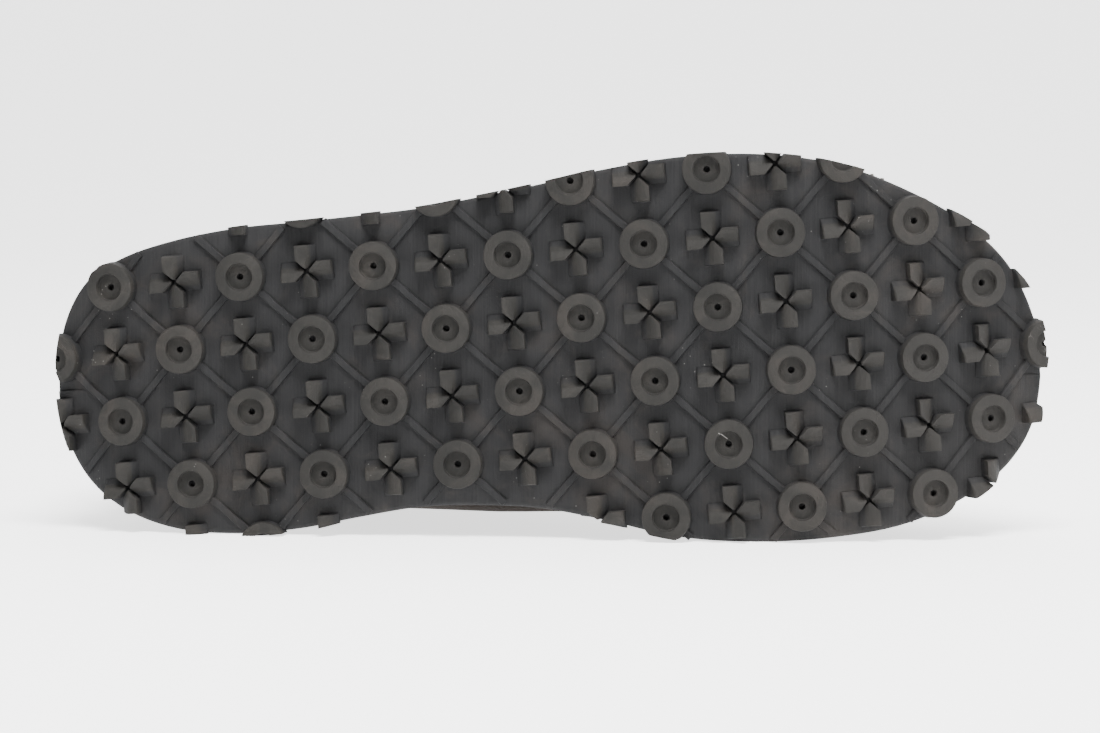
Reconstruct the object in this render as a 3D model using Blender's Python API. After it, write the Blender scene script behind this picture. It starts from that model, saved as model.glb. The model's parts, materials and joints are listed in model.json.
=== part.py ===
"""Right wading boot with a lugged rubber sole, lying on its medial side.

The boot is worked out in its own frame: X from heel to toe, +Y to the medial side, +Z up from the
walking plane. The finished pieces are then laid on their side on the floor at Z = 0, with the middle
of the whole boot over the origin.
"""

import math
from functools import lru_cache

import bmesh
import bpy
import numpy as np
from mathutils import Matrix, Vector

MM = 0.001

# Sole: lengths along the tread, widths across it, heights from the walking plane
TREAD_LENGTH = 336.0 * MM
BALL_WIDTH = 125.3 * MM
TOE_BEND_START = 213.6 * MM
TOE_BEND_RADIUS = 214.0 * MM
HEEL_BEND_START = 49.2 * MM
HEEL_BEND_RADIUS = 171.0 * MM
LUG_HEIGHT = 4.8 * MM
BASE_THICKNESS = 4.0 * MM
BASE_CHAMFER = 1.4 * MM
LUG_OVERHANG = 0.6 * MM
LUG_ROOT = 1.8 * MM
SOLE_STATIONS = 26
STATION_END = 0.012
STATION_CROWDING = 0.055

# Tread pattern: rings and crosses take turns on a square lattice
LATTICE_PITCH = 22.13 * MM
LATTICE_TURN = 0.0839
LATTICE_START = 48.1 * MM
LATTICE_SIDE = 17.5 * MM
RING_DIAMETER = 15.8 * MM
RECESS_DIAMETER = 8.6 * MM
RECESS_DEPTH = 1.3 * MM
RING_KEPT_SHARE = 0.6
RING_SIDES = 10
CROSS_ARM = 8.5 * MM
CROSS_ARM_WIDTH = 6.3 * MM
CROSS_SLIT = 0.78 * MM
CROSS_LOW_SIDE = 1.2 * MM
CROSS_MIDDLE = 4.2 * MM

# Midsole and insole
FOREFOOT_MIDSOLE = 10.0 * MM
HEEL_MIDSOLE = 18.0 * MM
WEDGE_HEEL_END = 70.0 * MM
WEDGE_TOE_END = 205.0 * MM
MIDSOLE_INSET = 1.5 * MM
MIDSOLE_STEP = 1.6 * MM
MIDSOLE_BULGE = 0.8 * MM
MIDSOLE_BULGE_LEVEL = 0.28
MIDSOLE_STEP_LEVEL = 0.42
MIDSOLE_LEDGE = 3.5 * MM
INSOLE_THICKNESS = 4.0 * MM
INSOLE_SIDE_GAP = 2.2 * MM

# Upper
UPPER_WALL = 2.2 * MM
FOREFOOT_FEATHER_INSET = 5.0 * MM
HEEL_FEATHER_INSET = 9.0 * MM
FEATHER_TURN_START = 0.55
FEATHER_TURN_END = 0.8
TOE_BOX_HEIGHT = 48.0 * MM
INSTEP_RISE = 52.0 * MM
SHAFT_RISE = 98.0 * MM
COLLAR_DIP = 8.0 * MM
THROAT_FRONT_HALF = 13.0 * MM
THROAT_TOP_HALF = 22.0 * MM
SEAT_GAP = 0.3 * MM
FEATHER_GAP = 0.45 * MM
HARDWARE_GAP = 0.6 * MM

# Overlays and trim
TOE_CAP_THICKNESS = 2.0 * MM
COUNTER_THICKNESS = 1.8 * MM
COUNTER_LENGTH = 84.0 * MM
COUNTER_HEIGHT = 72.0 * MM
EYESTAY_THICKNESS = 1.8 * MM
CUFF_RIM = 2.4 * MM
CUFF_PAD = 5.5 * MM
TONGUE_THICKNESS = 5.0 * MM
TAB_WIDTH = 22.0 * MM
TAB_THICKNESS = 3.6 * MM
TAB_STAND = 16.0 * MM
EYELET_DIAMETER = 11.0 * MM
EYELET_HOLE = 5.0 * MM
EYELET_THICKNESS = 1.4 * MM
EYELET_SIDES = 8
EYELET_TOP_SHARE = 0.85
HOOK_WIDTH = 8.0 * MM
HOOK_LENGTH = 13.0 * MM
HOOK_HEIGHT = 7.5 * MM
HOOK_METAL = 1.3 * MM
LACE_WIDTH = 4.4 * MM
LACE_HEIGHT = 1.8 * MM
LACE_GAP = 0.95 * MM

# The sole's edge: share of the tread's length, then lateral and medial edge in ball widths
OUTLINE = (
    (0.000, 0.044, 0.044),
    (0.010, -0.108, 0.200),
    (0.036, -0.215, 0.313),
    (0.075, -0.275, 0.390),
    (0.130, -0.321, 0.438),
    (0.194, -0.354, 0.448),
    (0.254, -0.370, 0.433),
    (0.313, -0.387, 0.401),
    (0.372, -0.406, 0.373),
    (0.431, -0.436, 0.366),
    (0.490, -0.469, 0.372),
    (0.548, -0.505, 0.398),
    (0.625, -0.539, 0.442),
    (0.705, -0.546, 0.453),
    (0.780, -0.520, 0.442),
    (0.850, -0.455, 0.412),
    (0.910, -0.373, 0.352),
    (0.960, -0.262, 0.268),
    (0.990, -0.126, 0.160),
    (1.000, -0.007, -0.007),
)

# Sections of the upper, from the toe tip to above the collar. A section runs from its ridge point, on
# the top or front of the boot, down both sides to its seat on the sole or on the back of the heel.
# seat: share of the sole's edge from toe tip to heel tip. ridge: ridge point, share of tread length.
# toe, instep, shaft: shares of the three rises that lift the ridge point. back, back_rise: the heel's
# back line, ahead of the heel's seat in tread lengths and above it in shares of the back's height.
# medial, lateral, middle: widest places and centre line in ball widths. peak: where along the section
# it is widest.
SECTION_COLUMNS = (
    "seat", "ridge", "toe", "instep", "shaft", "back", "back_rise", "medial", "lateral", "middle", "peak"
)
SECTIONS = (
    (0.000, 0.985, 0.00, 0.00, 0.00, 0.000, 0.00, 0.000, 0.000, -0.007, 0.60),
    (0.035, 0.986, 0.36, 0.00, 0.00, 0.000, 0.00, 0.112, 0.130, -0.005, 0.66),
    (0.085, 0.966, 0.70, 0.00, 0.00, 0.000, 0.00, 0.232, 0.265, 0.000, 0.72),
    (0.150, 0.916, 0.92, 0.00, 0.00, 0.000, 0.00, 0.350, 0.392, 0.008, 0.76),
    (0.225, 0.846, 1.00, 0.02, 0.00, 0.000, 0.00, 0.406, 0.482, 0.018, 0.78),
    (0.310, 0.768, 1.00, 0.12, 0.00, 0.000, 0.00, 0.421, 0.516, 0.030, 0.80),
    (0.400, 0.694, 1.00, 0.26, 0.00, 0.000, 0.00, 0.414, 0.500, 0.040, 0.82),
    (0.490, 0.624, 1.00, 0.44, 0.00, 0.000, 0.00, 0.408, 0.462, 0.045, 0.85),
    (0.580, 0.558, 1.00, 0.66, 0.00, 0.000, 0.00, 0.430, 0.415, 0.045, 0.86),
    (0.680, 0.502, 1.00, 0.88, 0.00, 0.000, 0.00, 0.424, 0.374, 0.044, 0.80),
    (0.780, 0.462, 1.00, 1.00, 0.12, 0.000, 0.00, 0.396, 0.345, 0.044, 0.70),
    (0.880, 0.438, 1.00, 1.00, 0.27, 0.000, 0.00, 0.368, 0.320, 0.044, 0.62),
    (1.000, 0.424, 1.00, 1.00, 0.42, 0.000, 0.00, 0.357, 0.306, 0.044, 0.56),
    (1.000, 0.419, 1.00, 1.00, 0.49, -0.009, 0.18, 0.350, 0.302, 0.044, 0.54),
    (1.000, 0.416, 1.00, 1.00, 0.55, 0.002, 0.37, 0.350, 0.294, 0.044, 0.52),
    (1.000, 0.414, 1.00, 1.00, 0.61, 0.014, 0.59, 0.354, 0.294, 0.044, 0.51),
    (1.000, 0.413, 1.00, 1.00, 0.68, 0.014, 0.82, 0.364, 0.296, 0.044, 0.50),
    (1.000, 0.420, 1.00, 1.00, 1.00, 0.002, 1.00, 0.384, 0.304, 0.044, 0.50),
    (1.000, 0.432, 1.00, 1.00, 1.16, -0.014, 1.08, 0.402, 0.316, 0.044, 0.50),
)
HEEL_ROW = 12
COLLAR_ROW = 17
CUFF_ROW = 16
THROAT_ROW = 7
CROWN = 2.3

# Columns run down each side of a section, from the ridge at 0 to the seat
THROAT_COLUMN = 2
EYESTAY_COLUMN = 4
SEAT_COLUMN = 12
COUNTER_COLUMN = 7
RAND_COLUMN = 11
TONGUE_COLUMN = 3
TOE_CAP_ROW = 4
RAND_ROW = 7
COUNTER_FRONT_ROW = 9
COUNTER_TOP_ROW = 15
ROWS = (
    0, 0.5, 1, 1.5, 2, 3, 4, 5, 6, 7, 8, 9, 10, 10.5, 11, 11.33, 11.67, 12,
    13, 14, 15, 16, 16.33, 16.67, 17,
)
TONGUE_FRONT_ROW = 6
TONGUE_TOP_ROW = 18
EYELET_ROWS = (7.5, 8.5, 9.5, 10.75)
HOOK_ROWS = (12.5, 15.3, 16.5)
LACE_COLUMN = 3.0
LACE_END_COLUMN = 2.45
LACE_ROW_MARGIN = 0.12
CUFF_END_MARGIN = 0.05

# Side outline of the heel counter, ahead of the heel's seat and above it, in its own length and height
COUNTER_EDGE = (
    (-0.4, -0.4), (1.00, -0.4), (0.99, 0.05), (0.93, 0.18), (0.82, 0.31), (0.67, 0.43),
    (0.53, 0.56), (0.42, 0.70), (0.34, 0.84), (0.24, 0.95), (0.08, 1.0), (-0.4, 1.0),
)

# Padding of the cuff, from its lower outer edge over the rim to its lower inner edge: share of the way
# from the cuff's row to the rim, height above the rim in rim heights, and share of the padding outside
# the upper, where a negative share lies inside it
CUFF_SECTION = (
    (0.04, 0.0, 0.60), (0.40, 0.0, 1.00), (0.85, 0.0, 0.90), (1.00, 1.0, 0.40),
    (1.00, 1.0, -0.40), (0.85, 0.0, -0.90), (0.40, 0.0, -0.92), (0.22, 0.0, -0.55),
)

# Kilograms in a cubic metre, for the balance of the resting boot
DENSITY = {"rubber": 1150.0, "foam": 220.0, "hide": 820.0, "mesh": 350.0, "metal": 7800.0, "cord": 600.0}


def clear_scene():
    for obj in list(bpy.data.objects):
        bpy.data.objects.remove(obj, do_unlink=True)


def smooth_step(value, start, end):
    share = min(1.0, max(0.0, (value - start) / (end - start)))
    return share * share * (3.0 - 2.0 * share)


def spline(points, per_span):
    """A closed smooth curve through points, with per_span steps between each two of them."""
    count = len(points)
    curve = []
    for i in range(count):
        before, here, after, beyond = (points[(i + n) % count] for n in (-1, 0, 1, 2))
        pairs = ((before, here), (here, after), (after, beyond))
        first, span, last = (math.sqrt(np.linalg.norm(b - a)) for a, b in pairs)
        into = (here - before) / first - (after - before) / (first + span) + (after - here) / span
        out = (after - here) / span - (beyond - here) / (span + last) + (beyond - after) / last
        for step in range(per_span):
            s = step / per_span
            curve.append(
                (2 * s**3 - 3 * s**2 + 1) * here
                + (s**3 - 2 * s**2 + s) * into * span
                + (3 * s**2 - 2 * s**3) * after
                + (s**3 - s**2) * out * span
            )
    return np.array(curve)


@lru_cache(maxsize=None)
def edge_curves():
    """For each side: places along the edge from toe tip to heel tip, points and outward normals."""
    per_span = 10
    size = np.array((TREAD_LENGTH, BALL_WIDTH))
    medial = [np.array((row[0], row[2])) * size for row in reversed(OUTLINE)]
    lateral = [np.array((row[0], row[1])) * size for row in OUTLINE[1:-1]]
    loop = spline(medial + lateral, per_span)
    ahead = np.roll(loop, -1, axis=0) - np.roll(loop, 1, axis=0)
    ahead /= np.linalg.norm(ahead, axis=1)[:, None]
    normals = np.stack((-ahead[:, 1], ahead[:, 0]), axis=1)
    if (normals * (loop - loop.mean(axis=0))).sum() < 0:
        normals = -normals
    heel = (len(medial) - 1) * per_span
    curves = {}
    for side, order in ((1, range(heel + 1)), (-1, [i % len(loop) for i in range(len(loop), heel - 1, -1)])):
        points = loop[list(order)]
        steps = np.linalg.norm(np.diff(points, axis=0), axis=1)
        places = np.concatenate(([0.0], np.cumsum(steps)))
        curves[side] = (places / places[-1], points, normals[list(order)])
    return curves


def edge(side, share, inset=0.0):
    """(along, across) of the sole's edge, moved inwards by inset, and its outward normal there."""
    places, points, normals = edge_curves()[side]
    normal = np.array([np.interp(share, places, normals[:, n]) for n in (0, 1)])
    normal /= np.linalg.norm(normal)
    point = np.array([np.interp(share, places, points[:, n]) for n in (0, 1)])
    return point - normal * inset, normal


def toe_bend(along, across, height):
    """The toe spring: the tread's plane rolled up an arc ahead of the ball."""
    if along <= TOE_BEND_START:
        return Vector((along, across, height))
    turn = (along - TOE_BEND_START) / TOE_BEND_RADIUS
    arm = TOE_BEND_RADIUS - height
    return Vector((TOE_BEND_START + arm * math.sin(turn), across, TOE_BEND_RADIUS - arm * math.cos(turn)))


def tread_bend(along, across, height):
    """The toe spring, and the smaller lift at the back of the heel."""
    if along >= HEEL_BEND_START:
        return toe_bend(along, across, height)
    turn = (HEEL_BEND_START - along) / HEEL_BEND_RADIUS
    arm = HEEL_BEND_RADIUS - height
    return Vector((HEEL_BEND_START - arm * math.sin(turn), across, HEEL_BEND_RADIUS - arm * math.cos(turn)))


def base_top():
    return LUG_HEIGHT + BASE_THICKNESS


def midsole_top(along):
    wedge = 1.0 - smooth_step(along, WEDGE_HEEL_END, WEDGE_TOE_END)
    return base_top() + SEAT_GAP + FOREFOOT_MIDSOLE + (HEEL_MIDSOLE - FOREFOOT_MIDSOLE) * wedge


def feather_height(along):
    return midsole_top(along) + FEATHER_GAP


def feather_inset(share):
    heel_part = smooth_step(share, FEATHER_TURN_START, FEATHER_TURN_END)
    return FOREFOOT_FEATHER_INSET + (HEEL_FEATHER_INSET - FOREFOOT_FEATHER_INSET) * heel_part


def section_value(row, column):
    """A column of SECTIONS at any row, on a smooth curve through its values."""
    number = SECTION_COLUMNS.index(column)
    first = min(int(row), len(SECTIONS) - 2)
    s = row - first
    before, here, after, beyond = (
        SECTIONS[min(max(first + n, 0), len(SECTIONS) - 1)][number] for n in (-1, 0, 1, 2)
    )
    into, out = (after - before) / 2, (beyond - here) / 2
    curve = (2 * s**3 - 3 * s**2 + 1) * here + (s**3 - 2 * s**2 + s) * into
    return curve + (3 * s**2 - 2 * s**3) * after + (s**3 - s**2) * out


def ridge_point(row):
    along = section_value(row, "ridge") * TREAD_LENGTH
    rise = section_value(row, "toe") * TOE_BOX_HEIGHT + section_value(row, "instep") * INSTEP_RISE
    rise += section_value(row, "shaft") * SHAFT_RISE
    return toe_bend(along, section_value(row, "middle") * BALL_WIDTH, feather_height(along) + rise)


def seat_point(row, side):
    """Where a section ends: on the feather line, or above the heel on the back line."""
    if row < HEEL_ROW:
        share = min(1.0, section_value(row, "seat"))
        (along, across), _ = edge(side, share, feather_inset(share))
        return toe_bend(along, across, feather_height(along))
    (heel, _), _ = edge(side, 1.0, feather_inset(1.0))
    along = heel + section_value(row, "back") * TREAD_LENGTH
    height = feather_height(along) + section_value(row, "back_rise") * back_height()
    return Vector((along, section_value(row, "middle") * BALL_WIDTH, height))


def back_height():
    return TOE_BOX_HEIGHT + INSTEP_RISE + SHAFT_RISE - COLLAR_DIP - (HEEL_MIDSOLE - FOREFOOT_MIDSOLE)


@lru_cache(maxsize=None)
def half_section(row, side):
    """Points down one side of a section from ridge to seat, and their shares of its length."""
    ridge, seat = ridge_point(row), seat_point(row, side)
    middle = section_value(row, "middle") * BALL_WIDTH
    widest = section_value(row, "medial" if side > 0 else "lateral") * BALL_WIDTH - side * middle
    seat_width = max(0.0, side * (seat.y - middle))
    widest = max(widest, seat_width + 0.4 * MM)
    peak = section_value(row, "peak")
    power = 2.0 / CROWN
    last_turn = math.acos((seat_width / widest) ** (1.0 / power))
    below = (1.0 - peak) / math.sin(last_turn) ** power
    steps = 16
    points = []
    for n in range(steps + 1):
        turn = n / steps * math.pi / 2
        place = peak * (1.0 - math.cos(turn) ** power if n < steps else 1.0)
        points.append((place, math.sin(turn) ** power))
    for n in range(1, steps + 1):
        turn = n / steps * last_turn
        points.append((peak + below * math.sin(turn) ** power, max(0.0, math.cos(turn)) ** power))
    curve = []
    for place, width in points:
        level = ridge.lerp(seat, place)
        curve.append((level.x, middle + side * widest * width, level.z))
    curve = np.array(curve)
    length = np.concatenate(([0.0], np.cumsum(np.linalg.norm(np.diff(curve, axis=0), axis=1))))
    return curve, length / length[-1], length[-1]


def skin(row, share):
    """A point of the upper: share 0 is the ridge, 1 the medial seat and -1 the lateral one."""
    if row >= HEEL_ROW and abs(share) > 1.0:
        share -= math.copysign(2.0, share)
    side = 1 if share >= 0 else -1
    curve, places, _ = half_section(row, side)
    wanted = min(1.0, abs(share))
    return Vector([float(np.interp(wanted, places, curve[:, n])) for n in range(3)])


@lru_cache(maxsize=None)
def skin_normal(row, share):
    row_step, share_step = 0.2, 0.02
    if row <= HEEL_ROW and (abs(share) > 0.9999 or row == 0):
        side = 1 if share >= 0 else -1
        place = section_value(row, "seat")
        (along, across), (out, aside) = edge(side, place, feather_inset(place))
        height = feather_height(along)
        foot = toe_bend(along, across, height)
        ahead = toe_bend(along + out * MM, across + aside * MM, height)
        return (ahead - foot).normalized()
    low_row, high_row = max(0.02, row - row_step), min(len(SECTIONS) - 1, row + row_step)
    along = skin(high_row, share) - skin(low_row, share)
    if row < HEEL_ROW:
        down = skin(row, min(1.0, share + share_step)) - skin(row, max(-1.0, share - share_step))
    else:
        down = skin(row, share + share_step) - skin(row, share - share_step)
    normal = along.cross(down).normalized()
    centre = (ridge_point(row) + seat_point(row, 1 if share >= 0 else -1)) / 2
    centre.y = section_value(row, "middle") * BALL_WIDTH
    return normal if normal.dot(skin(row, share) - centre) > 0 else -normal


def skin_point(row, share, offset):
    return skin(row, share) + skin_normal(row, share) * offset


def throat_share(row, side):
    progress = smooth_step(row, THROAT_ROW, COLLAR_ROW)
    half = THROAT_FRONT_HALF + (THROAT_TOP_HALF - THROAT_FRONT_HALF) * progress
    length = max(half_section(max(row, 0.02), side)[2], 1.0 * MM)
    return min(0.3, half / length)


def column_share(row, column):
    """The share of a section's length at a column, which may lie between two whole columns."""
    side = 1 if column >= 0 else -1
    throat = throat_share(row, side)
    number = abs(column)
    if number <= THROAT_COLUMN:
        return side * throat * number / THROAT_COLUMN
    return side * (throat + (1.0 - throat) * (number - THROAT_COLUMN) / (SEAT_COLUMN - THROAT_COLUMN))


def surface(row, column, offset):
    return skin_point(row, column_share(row, column), offset)


def make_material(name, colour, roughness, metallic=0.0):
    material = bpy.data.materials.new(name)
    material.use_nodes = True
    shader = material.node_tree.nodes["Principled BSDF"]
    shader.inputs["Base Color"].default_value = (*colour, 1.0)
    shader.inputs["Roughness"].default_value = roughness
    shader.inputs["Metallic"].default_value = metallic
    return material


def add_object(name, points, faces, material, density):
    """An object from points and faces, its normals outwards, round parts shaded smooth."""
    mesh = bpy.data.meshes.new(name)
    mesh.from_pydata([tuple(p) for p in points], [], faces)
    work = bmesh.new()
    work.from_mesh(mesh)
    bmesh.ops.recalc_face_normals(work, faces=work.faces)
    if work.calc_volume(signed=True) < 0:
        bmesh.ops.reverse_faces(work, faces=work.faces)
    work.to_mesh(mesh)
    work.free()
    mesh.shade_smooth()
    mesh.set_sharp_from_angle(angle=math.radians(35))
    mesh.materials.append(material)
    obj = bpy.data.objects.new(name, mesh)
    obj["density"] = DENSITY[density]
    bpy.context.scene.collection.objects.link(obj)
    return obj


def loft(rings):
    """Points and faces of a closed solid through rings of equal length, capped at both ends."""
    count = len(rings[0])
    points = [point for ring in rings for point in ring]
    faces = [tuple(range(count))]
    for i in range(len(rings) - 1):
        for n in range(count):
            after = (n + 1) % count
            faces.append((i * count + n, i * count + after, (i + 1) * count + after, (i + 1) * count + n))
    faces.append(tuple(range((len(rings) - 1) * count, len(rings) * count)))
    return points, faces


def shell(rows, columns, used, inner, outer):
    """Points and faces of a wall between two offsets of the upper, over the used triangles of a grid."""
    numbers = {}
    outside = []
    inside = []

    def vertex(row, column):
        if row == 0:
            column = 0
        point = surface(row, column, outer)
        key = tuple(round(value / (0.02 * MM)) for value in point)
        if key not in numbers:
            numbers[key] = len(outside)
            outside.append(point)
            inside.append(surface(row, column, inner))
        return numbers[key]

    cells = []
    for low_row, high_row in zip(rows, rows[1:]):
        for low, high in zip(columns, columns[1:]):
            places = ((low_row, low), (low_row, high), (high_row, high), (high_row, low))
            near, aside, far, across = (surface(*place, 0.0) for place in places)
            straight = (far - near).length <= (across - aside).length
            halves = ((0, 1, 2), (0, 2, 3)) if straight else ((0, 1, 3), (1, 2, 3))
            for half in halves:
                row, column = (sum(places[n][axis] for n in half) / 3 for axis in (0, 1))
                if used(row, column):
                    cells.append(tuple(vertex(*places[n]) for n in half))
    cells = [cell for cell in cells if len(set(cell)) == 3]
    walked = {(cell[n - 1], cell[n]) for cell in cells for n in range(len(cell))}
    count = len(outside)
    faces = cells + [tuple(count + c for c in reversed(cell)) for cell in cells]
    faces += [(b, a, count + a, count + b) for a, b in walked if (b, a) not in walked]
    return outside + inside, faces


def columns_between(low, high):
    return [low + n for n in range(int(high - low) + 1)]


def from_cutters(name, base, cutters, operation):
    """The mesh of base after one Boolean with each of the cutters."""
    for cutter in cutters:
        cutter.hide_render = True
        cutter.display_type = "WIRE"
        boolean = base.modifiers.new(cutter.name, "BOOLEAN")
        boolean.operation = operation
        boolean.solver = "EXACT"
        boolean.object = cutter
    graph = bpy.context.evaluated_depsgraph_get()
    mesh = bpy.data.meshes.new_from_object(base.evaluated_get(graph))
    mesh.name = name
    for obj in [base, *cutters]:
        bpy.data.objects.remove(obj, do_unlink=True)
    return mesh


def tread_point(number, side_number):
    """The middle of a lug of the lattice, (along, across)."""
    ahead = LATTICE_PITCH * np.array((math.cos(LATTICE_TURN), -math.sin(LATTICE_TURN)))
    aside = LATTICE_PITCH * np.array((math.sin(LATTICE_TURN), math.cos(LATTICE_TURN)))
    return np.array((LATTICE_START, LATTICE_SIDE)) + number * ahead + side_number * aside


def inside_edge(point, margin):
    """Whether a point of the tread lies inside the sole's edge moved outwards by margin."""
    best = None
    for _, points, normals in edge_curves().values():
        gaps = np.linalg.norm(points - point, axis=1)
        nearest = int(gaps.argmin())
        if best is None or gaps[nearest] < best[0]:
            best = (gaps[nearest], float(np.dot(point - points[nearest], normals[nearest])))
    return best[1] < margin


def lattice_places():
    """(number, side number, middle) of each lattice place near the sole."""
    across_count = int(BALL_WIDTH / LATTICE_PITCH) + 2
    along_count = int(TREAD_LENGTH / LATTICE_PITCH) + 3
    for side_number in range(-across_count, across_count + 1):
        for number in range(-4, along_count):
            yield number, side_number, tread_point(number, side_number)


def lattice_vector(along, across):
    """A vector in the lattice's own directions, turned into the tread's."""
    turn, lean = math.cos(LATTICE_TURN), math.sin(LATTICE_TURN)
    return np.array(((turn, lean), (-lean, turn))) @ np.array((along, across))


def prism(footprint, top_heights, root):
    """Points and faces of a lug: a footprint, the height of each of its points, and a flat root."""
    count = len(footprint)
    points = [(*p, h) for p, h in zip(footprint, top_heights)] + [(*p, root) for p in footprint]
    faces = [tuple(range(count, 2 * count))]
    faces += [(n, (n + 1) % count, count + (n + 1) % count, count + n) for n in range(count)]
    return points, faces


def ring_lugs():
    root = LUG_HEIGHT + LUG_ROOT
    turns = [2 * math.pi * n / RING_SIDES for n in range(RING_SIDES)]
    levels = (
        (RING_DIAMETER / 2, root),
        (RING_DIAMETER / 2, 0.0),
        (RECESS_DIAMETER / 2, 0.0),
        (RECESS_DIAMETER / 2, RECESS_DEPTH),
    )
    points, faces = [], []
    for number, side_number, middle in lattice_places():
        if (number + side_number) % 2 == 0:
            continue
        if not inside_edge(middle, RING_KEPT_SHARE * RING_DIAMETER / 2):
            continue
        rings = [
            [(*(middle + radius * np.array((math.cos(t), math.sin(t)))), height) for t in turns]
            for radius, height in levels
        ]
        lug_points, lug_faces = loft(rings)
        faces += [tuple(len(points) + n for n in face) for face in lug_faces]
        points += lug_points
    return points, faces


def cross_lugs():
    root = LUG_HEIGHT + LUG_ROOT
    half = CROSS_ARM_WIDTH / 2
    tip = CROSS_SLIT / math.sqrt(2)
    # Each block: distance out along its arm, place across it, height of the lug there
    corners = (
        (tip, 0.0, CROSS_MIDDLE),
        (tip + half, half, LUG_HEIGHT),
        (CROSS_ARM, half, LUG_HEIGHT),
        (CROSS_ARM, -half, CROSS_LOW_SIDE),
        (tip + half, -half, CROSS_LOW_SIDE),
    )
    points, faces = [], []
    for number, side_number, middle in lattice_places():
        if (number + side_number) % 2 == 1:
            continue
        for arm in ((1, 0), (0, -1), (-1, 0), (0, 1)):
            tall = (arm[1], -arm[0])
            centre = middle + lattice_vector(*arm) * CROSS_ARM / 2
            if not inside_edge(centre, 0.0):
                continue
            footprint = [
                middle + lattice_vector(out * arm[0] + aside * tall[0], out * arm[1] + aside * tall[1])
                for out, aside, _ in corners
            ]
            block_points, block_faces = prism(footprint, [LUG_HEIGHT - c[2] for c in corners], root)
            block_faces += [(0, 4, 3), (0, 3, 2), (0, 2, 1)]
            faces += [tuple(len(points) + n for n in face) for face in block_faces]
            points += block_points
    return points, faces


def sole_stations(count=SOLE_STATIONS):
    """Shares of the edge, closer together round the toe and the heel."""
    first, last = STATION_END, 1.0 - STATION_END
    even = [n / count for n in range(count + 1)]
    return [first + (last - first) * (s - STATION_CROWDING * math.sin(4 * math.pi * s)) for s in even]


def plate_rings(stations, side_section, bend=None):
    """Sections across the sole. side_section gives (inset, height) up one side, from bottom to top."""
    rings = []
    for share in stations:
        sides = []
        for side in (-1, 1):
            points = []
            along_here = edge(side, share)[0][0]
            for inset, height in side_section(along_here, share):
                (along, across), _ = edge(side, share, inset)
                points.append((along, across, height))
            sides.append(points)
        ring = sides[0] + sides[1][::-1]
        rings.append([bend(*point) for point in ring] if bend else ring)
    return rings


def make_outsole(material):
    def side_section(along, share):
        return (
            (BASE_CHAMFER, LUG_HEIGHT),
            (0.0, LUG_HEIGHT + BASE_CHAMFER),
            (0.0, base_top()),
        )

    stations = sole_stations()
    base = add_object("outsole_plate", *loft(plate_rings(stations, side_section)), material, "rubber")
    trim = ((-LUG_OVERHANG, -LUG_HEIGHT), (-LUG_OVERHANG, 2 * base_top()))
    trim_rings = plate_rings(stations, lambda along, share: trim)
    lugs = []
    for name, (points, faces) in (("rings", ring_lugs()), ("crosses", cross_lugs())):
        whole = add_object(name + "_whole", points, faces, material, "rubber")
        cutter = add_object(name + "_trim", *loft(trim_rings), material, "rubber")
        mesh = from_cutters(name, whole, [cutter], "INTERSECT")
        lugs.append(bpy.data.objects.new(name, mesh))
        bpy.context.scene.collection.objects.link(lugs[-1])
    mesh = from_cutters("outsole", base, lugs, "UNION")
    points = [tread_bend(*vertex.co) for vertex in mesh.vertices]
    faces = [tuple(polygon.vertices) for polygon in mesh.polygons]
    bpy.data.meshes.remove(mesh)
    return add_object("outsole", points, faces, material, "rubber")


def make_midsole(material):
    low = base_top() + SEAT_GAP

    def side_section(along, share):
        rise = midsole_top(along) - low
        return (
            (MIDSOLE_INSET, low),
            (MIDSOLE_INSET - MIDSOLE_BULGE, low + MIDSOLE_BULGE_LEVEL * rise),
            (MIDSOLE_INSET + MIDSOLE_STEP, low + MIDSOLE_STEP_LEVEL * rise),
            (feather_inset(share) - MIDSOLE_LEDGE, low + rise),
        )

    def bend(along, across, height):
        lift = smooth_step(height, low, low + FOREFOOT_MIDSOLE)
        return tread_bend(along, across, height).lerp(toe_bend(along, across, height), lift)

    rings = plate_rings(sole_stations(), side_section, bend)
    return add_object("midsole", *loft(rings), material, "foam")


def make_insole(material):
    def side_section(along, share):
        inset = feather_inset(share) + UPPER_WALL + INSOLE_SIDE_GAP
        low = midsole_top(along) + SEAT_GAP
        return (inset, low), (inset, low + INSOLE_THICKNESS)

    rings = plate_rings(sole_stations(), side_section, toe_bend)
    return add_object("insole", *loft(rings), material, "foam")


def make_upper(material):
    def used(row, column):
        return row < THROAT_ROW or abs(column) > THROAT_COLUMN

    columns = columns_between(-SEAT_COLUMN, SEAT_COLUMN)
    return add_object("upper", *shell(ROWS, columns, used, -UPPER_WALL, 0.0), material, "hide")


def rows_between(low, high):
    return [row for row in ROWS if low <= row <= high]


def make_toe_cap(material):
    def used(row, column):
        return row < TOE_CAP_ROW or abs(column) > RAND_COLUMN

    columns = columns_between(-SEAT_COLUMN, SEAT_COLUMN)
    wall = shell(rows_between(0, RAND_ROW), columns, used, SEAT_GAP, SEAT_GAP + TOE_CAP_THICKNESS)
    return add_object("toe_cap", *wall, material, "rubber")


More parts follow.
